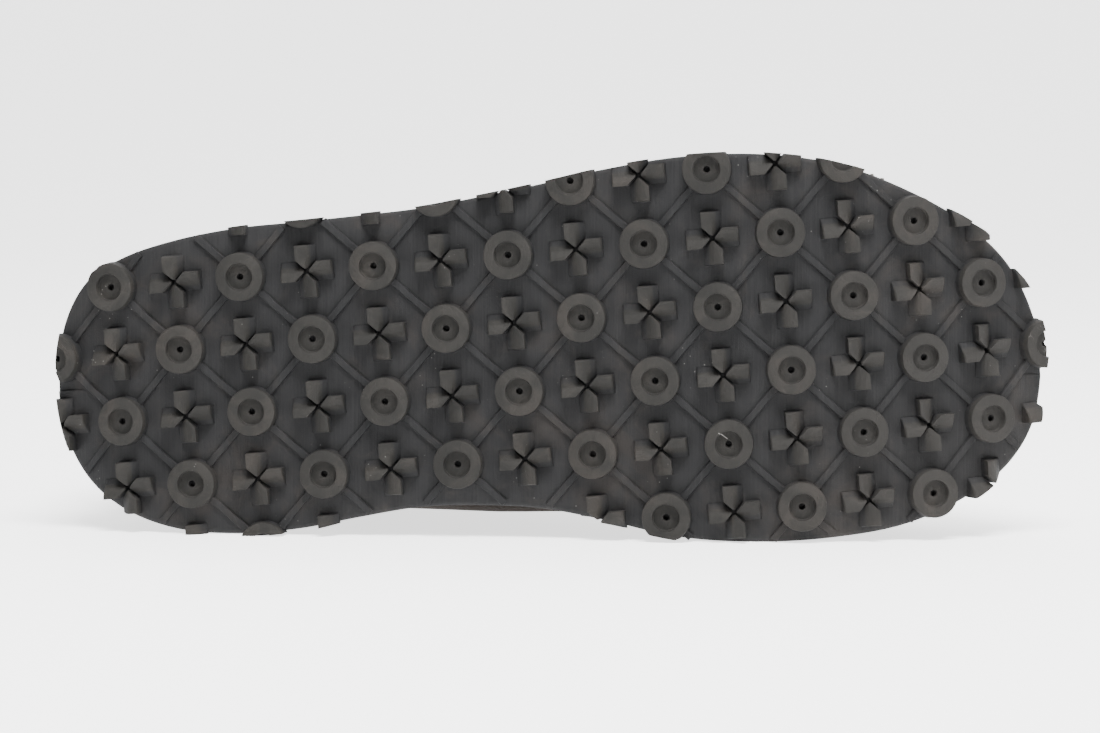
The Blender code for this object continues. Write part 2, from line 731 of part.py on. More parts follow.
def make_heel_counter(material):
    """A wall over the upper's heel, cut to a side outline that falls from the back to the sole."""
    columns = columns_between(-SEAT_COLUMN, SEAT_COLUMN)
    rows = rows_between(COUNTER_FRONT_ROW, COUNTER_TOP_ROW)
    wall = shell(
        rows,
        columns,
        lambda row, column: abs(column) > COUNTER_COLUMN,
        SEAT_GAP,
        SEAT_GAP + COUNTER_THICKNESS,
    )
    whole = add_object("counter_whole", *wall, material, "rubber")
    heel = seat_point(HEEL_ROW, 1)
    rings = [
        [(heel.x + out * COUNTER_LENGTH, across, heel.z + up * COUNTER_HEIGHT) for out, up in COUNTER_EDGE]
        for across in (-BALL_WIDTH, BALL_WIDTH)
    ]
    cutter = add_object("counter_cutter", *loft(rings), material, "rubber")
    mesh = from_cutters("counter_mesh", whole, [cutter], "INTERSECT")
    points = [vertex.co.copy() for vertex in mesh.vertices]
    faces = [tuple(polygon.vertices) for polygon in mesh.polygons]
    bpy.data.meshes.remove(mesh)
    return add_object("heel_counter", points, faces, material, "rubber")


def make_eyestay(material):
    def used(row, column):
        return row < THROAT_ROW or abs(column) > THROAT_COLUMN

    columns = columns_between(-EYESTAY_COLUMN, EYESTAY_COLUMN)
    rows = rows_between(THROAT_ROW - 1, COLLAR_ROW)
    wall = shell(rows, columns, used, SEAT_GAP, SEAT_GAP + EYESTAY_THICKNESS)
    return add_object("eyestay", *wall, material, "hide")


def make_tongue(material):
    outer = -UPPER_WALL - SEAT_GAP
    columns = columns_between(-TONGUE_COLUMN, TONGUE_COLUMN)
    rows = rows_between(TONGUE_FRONT_ROW, COLLAR_ROW) + [TONGUE_TOP_ROW]
    wall = shell(rows, columns, lambda row, column: True, outer - TONGUE_THICKNESS, outer)
    return add_object("tongue", *wall, material, "mesh")


def row_above_rim(column, height):
    """The row that lies a height above the collar's rim, measured on the surface at that column."""
    step = 0.1
    speed = (surface(COLLAR_ROW + step, column, 0.0) - surface(COLLAR_ROW, column, 0.0)).length / step
    return COLLAR_ROW + height / speed


def cuff_ring(column):
    """The padding's outer line, then the faces next to the upper, which follow the upper's own rows."""
    inner_face = -UPPER_WALL - SEAT_GAP
    ring = []
    for up, above, outside in CUFF_SECTION:
        if above == 0:
            row = CUFF_ROW + (COLLAR_ROW - CUFF_ROW) * up
        else:
            row = row_above_rim(column, above * CUFF_RIM)
        reach = outside * CUFF_PAD + (SEAT_GAP if outside > 0 else inner_face)
        ring.append(surface(row, column, reach))
    rim_row = row_above_rim(column, SEAT_GAP)
    rows = rows_between(CUFF_ROW, COLLAR_ROW)
    ring += [surface(row, column, inner_face) for row in [*rows[1:], rim_row]]
    ring += [surface(row, column, SEAT_GAP) for row in [rim_row, *reversed(rows)]]
    return ring


def make_cuff(material):
    side = [EYESTAY_COLUMN + CUFF_END_MARGIN] + columns_between(EYESTAY_COLUMN + 1, SEAT_COLUMN)
    columns = side + [-c for c in reversed(side[:-1])]
    return add_object("collar_cuff", *loft([cuff_ring(column) for column in columns]), material, "mesh")


def wall_point(row, column, offset):
    """A point on the flat facets of a wall that follows the upper's rows and columns."""
    low_row = max(r for r in ROWS[:-1] if r <= row)
    high_row = min(r for r in ROWS if r > low_row)
    low, high = math.floor(column), math.floor(column) + 1
    up, over = (row - low_row) / (high_row - low_row), column - low
    near = surface(low_row, low, offset).lerp(surface(low_row, high, offset), over)
    far = surface(high_row, low, offset).lerp(surface(high_row, high, offset), over)
    return near.lerp(far, up)


def wall_matrix(row, column, offset):
    """A frame on a wall: Z out of it, X up the boot along its column."""
    step = 0.2
    up = (wall_point(row + step, column, offset) - wall_point(row - step, column, offset)).normalized()
    aside = wall_point(row, column + step, offset) - wall_point(row, column - step, offset)
    out = up.cross(aside).normalized()
    if out.dot(skin_normal(row, column_share(row, column))) < 0:
        out = -out
    turn = Matrix((up, out.cross(up), out)).transposed().to_4x4()
    return Matrix.Translation(wall_point(row, column, offset) + out * HARDWARE_GAP) @ turn


def eyelet_shape():
    turns = [2 * math.pi * n / EYELET_SIDES for n in range(EYELET_SIDES)]
    outer, inner = EYELET_DIAMETER / 2, EYELET_HOLE / 2
    top = (EYELET_TOP_SHARE * outer, EYELET_THICKNESS)
    levels = ((outer, 0.0), (inner, 0.0), (inner, EYELET_THICKNESS), top)
    points = [(r * math.cos(t), r * math.sin(t), h) for r, h in levels for t in turns]
    faces = []
    for level in range(4):
        after = (level + 1) % 4
        for n in range(EYELET_SIDES):
            m = (n + 1) % EYELET_SIDES
            corners = ((level, n), (level, m), (after, m), (after, n))
            faces.append(tuple(EYELET_SIDES * a + b for a, b in corners))
    return points, faces


def hook_shape():
    """A lace hook: a metal strip bent back over itself, open towards the sole."""
    back, front = HOOK_LENGTH / 2, -HOOK_LENGTH / 2
    top, metal = HOOK_HEIGHT, HOOK_METAL
    lip = front + 0.3 * HOOK_LENGTH
    strip = (
        (front, 0.0), (back - metal, 0.0), (back, 0.35 * top), (back, 0.7 * top),
        (back - 1.5 * metal, top), (lip, top), (front + metal, 0.85 * top),
        (front + 1.6 * metal, 0.85 * top - metal), (lip + metal, top - metal),
        (back - 2 * metal, top - metal), (back - metal, 0.65 * top), (back - metal, 0.4 * top),
        (back - 2 * metal, metal), (front, metal),
    )
    rings = [[(x, y, z) for x, z in strip] for y in (-HOOK_WIDTH / 2, HOOK_WIDTH / 2)]
    return loft(rings)


def make_hardware(material):
    """Eyelets below and hooks above, a pair to each row, on the eyestay's outer face."""
    seat = SEAT_GAP + EYESTAY_THICKNESS
    hardware = []
    kinds = (("eyelet", EYELET_ROWS, eyelet_shape()), ("hook", HOOK_ROWS, hook_shape()))
    for kind, rows, shape in kinds:
        for side, side_name in ((1, "medial"), (-1, "lateral")):
            for number, row in enumerate(rows, start=1):
                obj = add_object(f"{kind}_{side_name}_{number}", *shape, material, "metal")
                obj.matrix_world = wall_matrix(row, side * LACE_COLUMN, seat)
                hardware.append(obj)
    return hardware


def lace_run(row_from, row_to, side):
    """A flat lace from one side of the throat to the other, as rings of points."""
    middles, outs = [], []
    columns = [LACE_END_COLUMN, *range(THROAT_COLUMN, -THROAT_COLUMN - 1, -1), -LACE_END_COLUMN]
    for column in columns:
        row = row_from + (row_to - row_from) * (LACE_END_COLUMN - column) / (2 * LACE_END_COLUMN)
        out = skin_normal(row, column_share(row, side * column))
        face = wall_point(row, side * column, SEAT_GAP + EYESTAY_THICKNESS)
        middles.append(face + out * (LACE_GAP + LACE_HEIGHT / 2))
        outs.append(out)
    rings = []
    last = len(columns) - 1
    for n, (middle, out) in enumerate(zip(middles, outs)):
        ahead = (middles[min(n + 1, last)] - middles[max(n - 1, 0)]).normalized()
        across = ahead.cross(out).normalized()
        rise = across.cross(ahead)
        corners = ((1, 1), (-1, 1), (-1, -1), (1, -1))
        rings.append([middle + across * a * LACE_WIDTH / 2 + rise * b * LACE_HEIGHT / 2 for a, b in corners])
    return rings


def make_laces(material):
    """One bar at the bottom, then a joined crossing between each two pairs of eyelets or hooks."""
    rows = EYELET_ROWS + HOOK_ROWS
    bar_row = rows[0] - LACE_ROW_MARGIN
    laces = [add_object("lace_bar", *loft(lace_run(bar_row, bar_row, 1)), material, "cord")]
    for number, (low, high) in enumerate(zip(rows, rows[1:]), start=1):
        margin = LACE_ROW_MARGIN * (high - low)
        runs = []
        for side, side_name in ((1, "medial"), (-1, "lateral")):
            rings = lace_run(low + margin, high - margin, side)
            runs.append(add_object(f"run_from_{side_name}", *loft(rings), material, "cord"))
        mesh = from_cutters("crossing", runs[0], runs[1:], "UNION")
        points = [vertex.co.copy() for vertex in mesh.vertices]
        faces = [tuple(polygon.vertices) for polygon in mesh.polygons]
        bpy.data.meshes.remove(mesh)
        laces.append(add_object(f"lace_crossing_{number}", points, faces, material, "cord"))
    return laces


def make_pull_tab(material):
    """A doubled tape that stands up from the cuff at the back of the heel."""
    low = TAB_THICKNESS / 2 + SEAT_GAP
    clear = CUFF_PAD + SEAT_GAP + low
    path = [
        surface(CUFF_ROW - 0.35, SEAT_COLUMN, low),
        surface(CUFF_ROW - 0.10, SEAT_COLUMN, 0.6 * clear + 0.4 * low),
        surface(CUFF_ROW + 0.12, SEAT_COLUMN, clear),
        surface(CUFF_ROW + 0.60, SEAT_COLUMN, clear),
        surface(row_above_rim(SEAT_COLUMN, CUFF_RIM), SEAT_COLUMN, clear),
        surface(row_above_rim(SEAT_COLUMN, CUFF_RIM + TAB_STAND), SEAT_COLUMN, 0.7 * clear),
    ]
    rings = []
    for n, point in enumerate(path):
        ahead = (path[min(n + 1, len(path) - 1)] - path[max(n - 1, 0)]).normalized()
        across = Vector((0, 1, 0))
        out = ahead.cross(across)
        corners = ((1, 1), (-1, 1), (-1, -1), (1, -1))
        rings.append([point + across * a * TAB_WIDTH / 2 + out * b * TAB_THICKNESS / 2 for a, b in corners])
    return add_object("pull_tab", *loft(rings), material, "cord")


def centre_of_mass(objects):
    total, moment = 0.0, Vector()
    for obj in objects:
        obj.data.calc_loop_triangles()
        points = [obj.matrix_world @ vertex.co for vertex in obj.data.vertices]
        for triangle in obj.data.loop_triangles:
            a, b, c = (points[n] for n in triangle.vertices)
            mass = a.dot(b.cross(c)) / 6 * obj["density"]
            total += mass
            moment += mass * (a + b + c) / 4
    return moment / total


def rest_normal(objects):
    """The outward normal of the face of the boot's convex hull that it rests on, on its medial side."""
    hull = bmesh.new()
    for obj in objects:
        for vertex in obj.data.vertices:
            hull.verts.new(obj.matrix_world @ vertex.co)
    bmesh.ops.convex_hull(hull, input=hull.verts)
    hull.normal_update()
    balance = centre_of_mass(objects)
    best = None
    for face in hull.faces:
        normal = face.normal.copy()
        if normal.dot(face.calc_center_median() - balance) < 0:
            normal.negate()
        corners = [vertex.co.copy() for vertex in face.verts]
        turns = [(b - a).cross(balance - a).dot(normal) for a, b in zip(corners, corners[1:] + corners[:1])]
        over = all(t >= 0 for t in turns) or all(t <= 0 for t in turns)
        if over and (best is None or normal.y > best.y):
            best = normal
    hull.free()
    return best


def lay_down(objects):
    """Parents every piece to an empty that lays the boot on the floor, over the origin."""
    normal = rest_normal(objects)
    up = -normal
    ahead = (Vector((1, 0, 0)) - normal * normal.x).normalized()
    turn = Matrix((ahead, up.cross(ahead), up)).to_4x4()
    corners = [turn @ obj.matrix_world @ vertex.co for obj in objects for vertex in obj.data.vertices]
    low = [min(corner[n] for corner in corners) for n in range(3)]
    high = [max(corner[n] for corner in corners) for n in range(3)]
    move = Vector((-(low[0] + high[0]) / 2, -(low[1] + high[1]) / 2, -low[2]))
    pose = bpy.data.objects.new("boot_at_rest", None)
    pose.matrix_world = Matrix.Translation(move) @ turn
    bpy.context.scene.collection.objects.link(pose)
    for obj in objects:
        place = obj.matrix_world.copy()
        obj.parent = pose
        obj.matrix_basis = place
    return pose


def build():
    clear_scene()
    tread_rubber = make_material("tread_rubber", (0.045, 0.042, 0.04), 0.8)
    foam = make_material("midsole_foam", (0.09, 0.085, 0.08), 0.85)
    hide = make_material("brown_hide", (0.06, 0.038, 0.026), 0.75)
    cap_rubber = make_material("cap_rubber", (0.035, 0.033, 0.032), 0.7)
    stay_hide = make_material("stay_hide", (0.04, 0.03, 0.024), 0.75)
    padding = make_material("padding", (0.05, 0.048, 0.046), 0.95)
    lining = make_material("lining", (0.12, 0.115, 0.11), 0.95)
    metal = make_material("hook_metal", (0.28, 0.28, 0.28), 0.35, 1.0)
    cord = make_material("lace_cord", (0.05, 0.045, 0.04), 0.9)
    pieces = [
        make_outsole(tread_rubber),
        make_midsole(foam),
        make_insole(lining),
        make_upper(hide),
        make_toe_cap(cap_rubber),
        make_heel_counter(cap_rubber),
        make_eyestay(stay_hide),
        make_tongue(padding),
        make_cuff(padding),
        make_pull_tab(cord),
        *make_hardware(metal),
        *make_laces(cord),
    ]
    bpy.context.view_layer.update()
    lay_down(pieces)


build()
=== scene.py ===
"""Looks of the right wading boot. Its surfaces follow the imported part's own sizes."""

import json
import math
from functools import lru_cache

import bmesh
import bpy
import numpy as np
from mathutils import Matrix, Vector


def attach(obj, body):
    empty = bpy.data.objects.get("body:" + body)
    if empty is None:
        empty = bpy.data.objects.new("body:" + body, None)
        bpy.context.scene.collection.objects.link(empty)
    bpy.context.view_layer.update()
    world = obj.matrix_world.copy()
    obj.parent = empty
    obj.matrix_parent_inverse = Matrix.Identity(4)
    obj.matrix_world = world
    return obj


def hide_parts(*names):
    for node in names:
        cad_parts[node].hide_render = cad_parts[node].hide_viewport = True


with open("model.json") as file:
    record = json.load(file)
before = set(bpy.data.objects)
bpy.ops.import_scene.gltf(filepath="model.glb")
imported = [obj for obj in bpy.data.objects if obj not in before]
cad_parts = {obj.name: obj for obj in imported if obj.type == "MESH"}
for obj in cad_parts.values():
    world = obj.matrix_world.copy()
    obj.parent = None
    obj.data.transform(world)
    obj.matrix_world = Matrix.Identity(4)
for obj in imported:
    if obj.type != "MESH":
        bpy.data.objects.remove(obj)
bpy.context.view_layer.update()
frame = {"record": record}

MM = 0.001

# Sole: lengths along the tread, widths across it, heights from the walking plane
TREAD_LENGTH = 336.0 * MM
BALL_WIDTH = 125.3 * MM
TOE_BEND_START = 213.6 * MM
TOE_BEND_RADIUS = 214.0 * MM
HEEL_BEND_START = 49.2 * MM
HEEL_BEND_RADIUS = 171.0 * MM
LUG_HEIGHT = 4.8 * MM
BASE_THICKNESS = 4.0 * MM
BASE_CHAMFER = 1.4 * MM
LUG_OVERHANG = 0.6 * MM
LUG_ROOT = 1.8 * MM
STATION_END = 0.012
STATION_CROWDING = 0.055

# Tread pattern: rings and crosses take turns on a square lattice
LATTICE_PITCH = 22.13 * MM
LATTICE_TURN = 0.0839
LATTICE_START = 48.1 * MM
LATTICE_SIDE = 17.5 * MM
RING_DIAMETER = 15.8 * MM
RECESS_DIAMETER = 8.6 * MM
RECESS_DEPTH = 1.3 * MM
RING_KEPT_SHARE = 0.6
CROSS_ARM = 8.5 * MM
CROSS_ARM_WIDTH = 6.3 * MM
CROSS_SLIT = 0.78 * MM

# Midsole and insole
FOREFOOT_MIDSOLE = 10.0 * MM
HEEL_MIDSOLE = 18.0 * MM
WEDGE_HEEL_END = 70.0 * MM
WEDGE_TOE_END = 205.0 * MM
MIDSOLE_INSET = 1.5 * MM
MIDSOLE_STEP = 1.6 * MM
MIDSOLE_LEDGE = 3.5 * MM
INSOLE_THICKNESS = 4.0 * MM
INSOLE_SIDE_GAP = 2.2 * MM

# Upper
UPPER_WALL = 2.2 * MM
FOREFOOT_FEATHER_INSET = 5.0 * MM
HEEL_FEATHER_INSET = 9.0 * MM
FEATHER_TURN_START = 0.55
FEATHER_TURN_END = 0.8
TOE_BOX_HEIGHT = 48.0 * MM
INSTEP_RISE = 52.0 * MM
SHAFT_RISE = 98.0 * MM
COLLAR_DIP = 8.0 * MM
THROAT_FRONT_HALF = 13.0 * MM
THROAT_TOP_HALF = 22.0 * MM
SEAT_GAP = 0.3 * MM
FEATHER_GAP = 0.45 * MM
HARDWARE_GAP = 0.6 * MM

# Overlays and trim
TOE_CAP_THICKNESS = 2.0 * MM
COUNTER_THICKNESS = 1.8 * MM
COUNTER_LENGTH = 84.0 * MM
COUNTER_HEIGHT = 72.0 * MM
EYESTAY_THICKNESS = 1.8 * MM
CUFF_RIM = 2.4 * MM
CUFF_PAD = 5.5 * MM
TONGUE_THICKNESS = 5.0 * MM
TAB_WIDTH = 22.0 * MM
TAB_THICKNESS = 3.6 * MM
TAB_STAND = 16.0 * MM
EYELET_DIAMETER = 11.0 * MM
EYELET_HOLE = 5.0 * MM
EYELET_THICKNESS = 1.4 * MM
HOOK_WIDTH = 8.0 * MM
HOOK_LENGTH = 13.0 * MM
HOOK_HEIGHT = 7.5 * MM
HOOK_METAL = 1.3 * MM
LACE_WIDTH = 4.4 * MM
LACE_HEIGHT = 1.8 * MM
LACE_GAP = 0.95 * MM

# The sole's edge: share of the tread's length, then lateral and medial edge in ball widths
OUTLINE = (
    (0.000, 0.044, 0.044),
    (0.010, -0.108, 0.200),
    (0.036, -0.215, 0.313),
    (0.075, -0.275, 0.390),
    (0.130, -0.321, 0.438),
    (0.194, -0.354, 0.448),
    (0.254, -0.370, 0.433),
    (0.313, -0.387, 0.401),
    (0.372, -0.406, 0.373),
    (0.431, -0.436, 0.366),
    (0.490, -0.469, 0.372),
    (0.548, -0.505, 0.398),
    (0.625, -0.539, 0.442),
    (0.705, -0.546, 0.453),
    (0.780, -0.520, 0.442),
    (0.850, -0.455, 0.412),
    (0.910, -0.373, 0.352),
    (0.960, -0.262, 0.268),
    (0.990, -0.126, 0.160),
    (1.000, -0.007, -0.007),
)

# Sections of the upper, from the toe tip to above the collar. A section runs from its ridge point, on
# the top or front of the boot, down both sides to its seat on the sole or on the back of the heel.
# seat: share of the sole's edge from toe tip to heel tip. ridge: ridge point, share of tread length.
# toe, instep, shaft: shares of the three rises that lift the ridge point. back, back_rise: the heel's
# back line, ahead of the heel's seat in tread lengths and above it in shares of the back's height.
# medial, lateral, middle: widest places and centre line in ball widths. peak: where along the section
# it is widest.
SECTION_COLUMNS = (
    "seat", "ridge", "toe", "instep", "shaft", "back", "back_rise", "medial", "lateral", "middle", "peak"
)
SECTIONS = (
    (0.000, 0.985, 0.00, 0.00, 0.00, 0.000, 0.00, 0.000, 0.000, -0.007, 0.60),
    (0.035, 0.986, 0.36, 0.00, 0.00, 0.000, 0.00, 0.112, 0.130, -0.005, 0.66),
    (0.085, 0.966, 0.70, 0.00, 0.00, 0.000, 0.00, 0.232, 0.265, 0.000, 0.72),
    (0.150, 0.916, 0.92, 0.00, 0.00, 0.000, 0.00, 0.350, 0.392, 0.008, 0.76),
    (0.225, 0.846, 1.00, 0.02, 0.00, 0.000, 0.00, 0.406, 0.482, 0.018, 0.78),
    (0.310, 0.768, 1.00, 0.12, 0.00, 0.000, 0.00, 0.421, 0.516, 0.030, 0.80),
    (0.400, 0.694, 1.00, 0.26, 0.00, 0.000, 0.00, 0.414, 0.500, 0.040, 0.82),
    (0.490, 0.624, 1.00, 0.44, 0.00, 0.000, 0.00, 0.408, 0.462, 0.045, 0.85),
    (0.580, 0.558, 1.00, 0.66, 0.00, 0.000, 0.00, 0.430, 0.415, 0.045, 0.86),
    (0.680, 0.502, 1.00, 0.88, 0.00, 0.000, 0.00, 0.424, 0.374, 0.044, 0.80),
    (0.780, 0.462, 1.00, 1.00, 0.12, 0.000, 0.00, 0.396, 0.345, 0.044, 0.70),
    (0.880, 0.438, 1.00, 1.00, 0.27, 0.000, 0.00, 0.368, 0.320, 0.044, 0.62),
    (1.000, 0.424, 1.00, 1.00, 0.42, 0.000, 0.00, 0.357, 0.306, 0.044, 0.56),
    (1.000, 0.419, 1.00, 1.00, 0.49, -0.009, 0.18, 0.350, 0.302, 0.044, 0.54),
    (1.000, 0.416, 1.00, 1.00, 0.55, 0.002, 0.37, 0.350, 0.294, 0.044, 0.52),
    (1.000, 0.414, 1.00, 1.00, 0.61, 0.014, 0.59, 0.354, 0.294, 0.044, 0.51),
    (1.000, 0.413, 1.00, 1.00, 0.68, 0.014, 0.82, 0.364, 0.296, 0.044, 0.50),
    (1.000, 0.420, 1.00, 1.00, 1.00, 0.002, 1.00, 0.384, 0.304, 0.044, 0.50),
    (1.000, 0.432, 1.00, 1.00, 1.16, -0.014, 1.08, 0.402, 0.316, 0.044, 0.50),
)
HEEL_ROW = 12
COLLAR_ROW = 17
CUFF_ROW = 16
THROAT_ROW = 7
CROWN = 2.3

# Columns run down each side of a section, from the ridge at 0 to the seat
THROAT_COLUMN = 2
EYESTAY_COLUMN = 4
SEAT_COLUMN = 12
COUNTER_COLUMN = 7
RAND_COLUMN = 11
TONGUE_COLUMN = 3
TOE_CAP_ROW = 4
RAND_ROW = 7
COUNTER_FRONT_ROW = 9
COUNTER_TOP_ROW = 15
ROWS = (
    0, 0.5, 1, 1.5, 2, 3, 4, 5, 6, 7, 8, 9, 10, 10.5, 11, 11.33, 11.67, 12,
    13, 14, 15, 16, 16.33, 16.67, 17,
)
TONGUE_FRONT_ROW = 6
TONGUE_TOP_ROW = 18
EYELET_ROWS = (7.5, 8.5, 9.5, 10.75)
HOOK_ROWS = (12.5, 15.3, 16.5)
LACE_COLUMN = 3.0
LACE_ROW_MARGIN = 0.12

# Side outline of the heel counter, ahead of the heel's seat and above it, in its own length and height
COUNTER_EDGE = (
    (-0.4, -0.4), (1.00, -0.4), (0.99, 0.05), (0.93, 0.18), (0.82, 0.31), (0.67, 0.43),
    (0.53, 0.56), (0.42, 0.70), (0.34, 0.84), (0.24, 0.95), (0.08, 1.0), (-0.4, 1.0),
)

# Padding of the cuff, from its lower outer edge over the rim to its lower inner edge: share of the way
# from the cuff's row to the rim, height above the rim in rim heights, and share of the padding outside
# the upper, where a negative share lies inside it
CUFF_SECTION = (
    (0.04, 0.0, 0.60), (0.40, 0.0, 1.00), (0.85, 0.0, 0.90), (1.00, 1.0, 0.40),
    (1.00, 1.0, -0.40), (0.85, 0.0, -0.90), (0.40, 0.0, -0.92), (0.22, 0.0, -0.55),
)

MOUNT_RING = (3, 0)

# The photograph's view of the sole, in the boot's own frame
CAMERA_YAW = 0.122
CAMERA_PITCH = -0.061
CAMERA_AIM = 168.6 * MM
CAMERA_DISTANCE = 1100.0 * MM
CAMERA_LENS = 111.6

# Strength of the world, of the three lamps and of the paper's own glow
WORLD_LIGHT = 0.22
KEY_LIGHT = 84.0
TOE_LIGHT = 9.0
TOP_LIGHT = 26.0
PAPER_GLOW = 1.7

# The paper sweep, in metres: where it starts, where it turns up, the turn's radius, its top, half its width
SWEEP_FRONT = -4.0
SWEEP_TURN_START = 1.6
SWEEP_RADIUS = 1.2
SWEEP_TOP = 5.0
SWEEP_HALF_WIDTH = 5.0
SWEEP_TURN_STEPS = 16


def smooth_step(value, start, end):
    share = min(1.0, max(0.0, (value - start) / (end - start)))
    return share * share * (3.0 - 2.0 * share)


def spline(points, per_span):
    """A closed smooth curve through points, with per_span steps between each two of them."""
    count = len(points)
    curve = []
    for i in range(count):
        before, here, after, beyond = (points[(i + n) % count] for n in (-1, 0, 1, 2))
        pairs = ((before, here), (here, after), (after, beyond))
        first, span, last = (math.sqrt(np.linalg.norm(b - a)) for a, b in pairs)
        into = (here - before) / first - (after - before) / (first + span) + (after - here) / span
        out = (after - here) / span - (beyond - here) / (span + last) + (beyond - after) / last
        for step in range(per_span):
            s = step / per_span
            curve.append(
                (2 * s**3 - 3 * s**2 + 1) * here
                + (s**3 - 2 * s**2 + s) * into * span
                + (3 * s**2 - 2 * s**3) * after
                + (s**3 - s**2) * out * span
            )
    return np.array(curve)


@lru_cache(maxsize=None)
def edge_curves():
    """For each side: places along the edge from toe tip to heel tip, points and outward normals."""
    per_span = 10
    size = np.array((TREAD_LENGTH, BALL_WIDTH))
    medial = [np.array((row[0], row[2])) * size for row in reversed(OUTLINE)]
    lateral = [np.array((row[0], row[1])) * size for row in OUTLINE[1:-1]]
    loop = spline(medial + lateral, per_span)
    ahead = np.roll(loop, -1, axis=0) - np.roll(loop, 1, axis=0)
    ahead /= np.linalg.norm(ahead, axis=1)[:, None]
    normals = np.stack((-ahead[:, 1], ahead[:, 0]), axis=1)
    if (normals * (loop - loop.mean(axis=0))).sum() < 0:
        normals = -normals
    heel = (len(medial) - 1) * per_span
    curves = {}
    for side, order in ((1, range(heel + 1)), (-1, [i % len(loop) for i in range(len(loop), heel - 1, -1)])):
        points = loop[list(order)]
        steps = np.linalg.norm(np.diff(points, axis=0), axis=1)
        places = np.concatenate(([0.0], np.cumsum(steps)))
        curves[side] = (places / places[-1], points, normals[list(order)])
    return curves


def edge(side, share, inset=0.0):
    """(along, across) of the sole's edge, moved inwards by inset, and its outward normal there."""
    places, points, normals = edge_curves()[side]
    normal = np.array([np.interp(share, places, normals[:, n]) for n in (0, 1)])
    normal /= np.linalg.norm(normal)
    point = np.array([np.interp(share, places, points[:, n]) for n in (0, 1)])
    return point - normal * inset, normal


def toe_bend(along, across, height):
    """The toe spring: the tread's plane rolled up an arc ahead of the ball."""
    if along <= TOE_BEND_START:
        return Vector((along, across, height))
    turn = (along - TOE_BEND_START) / TOE_BEND_RADIUS
    arm = TOE_BEND_RADIUS - height
    return Vector((TOE_BEND_START + arm * math.sin(turn), across, TOE_BEND_RADIUS - arm * math.cos(turn)))


def tread_bend(along, across, height):
    """The toe spring, and the smaller lift at the back of the heel."""
    if along >= HEEL_BEND_START:
        return toe_bend(along, across, height)
    turn = (HEEL_BEND_START - along) / HEEL_BEND_RADIUS
    arm = HEEL_BEND_RADIUS - height
    return Vector((HEEL_BEND_START - arm * math.sin(turn), across, HEEL_BEND_RADIUS - arm * math.cos(turn)))


def base_top():
    return LUG_HEIGHT + BASE_THICKNESS


def midsole_top(along):
    wedge = 1.0 - smooth_step(along, WEDGE_HEEL_END, WEDGE_TOE_END)
    return base_top() + SEAT_GAP + FOREFOOT_MIDSOLE + (HEEL_MIDSOLE - FOREFOOT_MIDSOLE) * wedge


def feather_height(along):
    return midsole_top(along) + FEATHER_GAP


def feather_inset(share):
    heel_part = smooth_step(share, FEATHER_TURN_START, FEATHER_TURN_END)
    return FOREFOOT_FEATHER_INSET + (HEEL_FEATHER_INSET - FOREFOOT_FEATHER_INSET) * heel_part


def section_value(row, column):
    """A column of SECTIONS at any row, on a smooth curve through its values."""
    number = SECTION_COLUMNS.index(column)
    first = min(int(row), len(SECTIONS) - 2)
    s = row - first
    before, here, after, beyond = (
        SECTIONS[min(max(first + n, 0), len(SECTIONS) - 1)][number] for n in (-1, 0, 1, 2)
    )
    into, out = (after - before) / 2, (beyond - here) / 2
    curve = (2 * s**3 - 3 * s**2 + 1) * here + (s**3 - 2 * s**2 + s) * into
    return curve + (3 * s**2 - 2 * s**3) * after + (s**3 - s**2) * out


def ridge_point(row):
    along = section_value(row, "ridge") * TREAD_LENGTH
    rise = section_value(row, "toe") * TOE_BOX_HEIGHT + section_value(row, "instep") * INSTEP_RISE
    rise += section_value(row, "shaft") * SHAFT_RISE
    return toe_bend(along, section_value(row, "middle") * BALL_WIDTH, feather_height(along) + rise)


def seat_point(row, side):
    """Where a section ends: on the feather line, or above the heel on the back line."""
    if row < HEEL_ROW:
        share = min(1.0, section_value(row, "seat"))
        (along, across), _ = edge(side, share, feather_inset(share))
        return toe_bend(along, across, feather_height(along))
    (heel, _), _ = edge(side, 1.0, feather_inset(1.0))
    along = heel + section_value(row, "back") * TREAD_LENGTH
    height = feather_height(along) + section_value(row, "back_rise") * back_height()
    return Vector((along, section_value(row, "middle") * BALL_WIDTH, height))


def back_height():
    return TOE_BOX_HEIGHT + INSTEP_RISE + SHAFT_RISE - COLLAR_DIP - (HEEL_MIDSOLE - FOREFOOT_MIDSOLE)


@lru_cache(maxsize=None)
def half_section(row, side):
    """Points down one side of a section from ridge to seat, and their shares of its length."""
    ridge, seat = ridge_point(row), seat_point(row, side)
    middle = section_value(row, "middle") * BALL_WIDTH
    widest = section_value(row, "medial" if side > 0 else "lateral") * BALL_WIDTH - side * middle
    seat_width = max(0.0, side * (seat.y - middle))
    widest = max(widest, seat_width + 0.4 * MM)
    peak = section_value(row, "peak")
    power = 2.0 / CROWN
    last_turn = math.acos((seat_width / widest) ** (1.0 / power))
    below = (1.0 - peak) / math.sin(last_turn) ** power
    steps = 40
    points = []
    for n in range(steps + 1):
        turn = n / steps * math.pi / 2
        place = peak * (1.0 - math.cos(turn) ** power if n < steps else 1.0)
        points.append((place, math.sin(turn) ** power))
    for n in range(1, steps + 1):
        turn = n / steps * last_turn
        points.append((peak + below * math.sin(turn) ** power, max(0.0, math.cos(turn)) ** power))
    curve = []
    for place, width in points:
        level = ridge.lerp(seat, place)
        curve.append((level.x, middle + side * widest * width, level.z))
    curve = np.array(curve)
    length = np.concatenate(([0.0], np.cumsum(np.linalg.norm(np.diff(curve, axis=0), axis=1))))
    return curve, length / length[-1], length[-1]


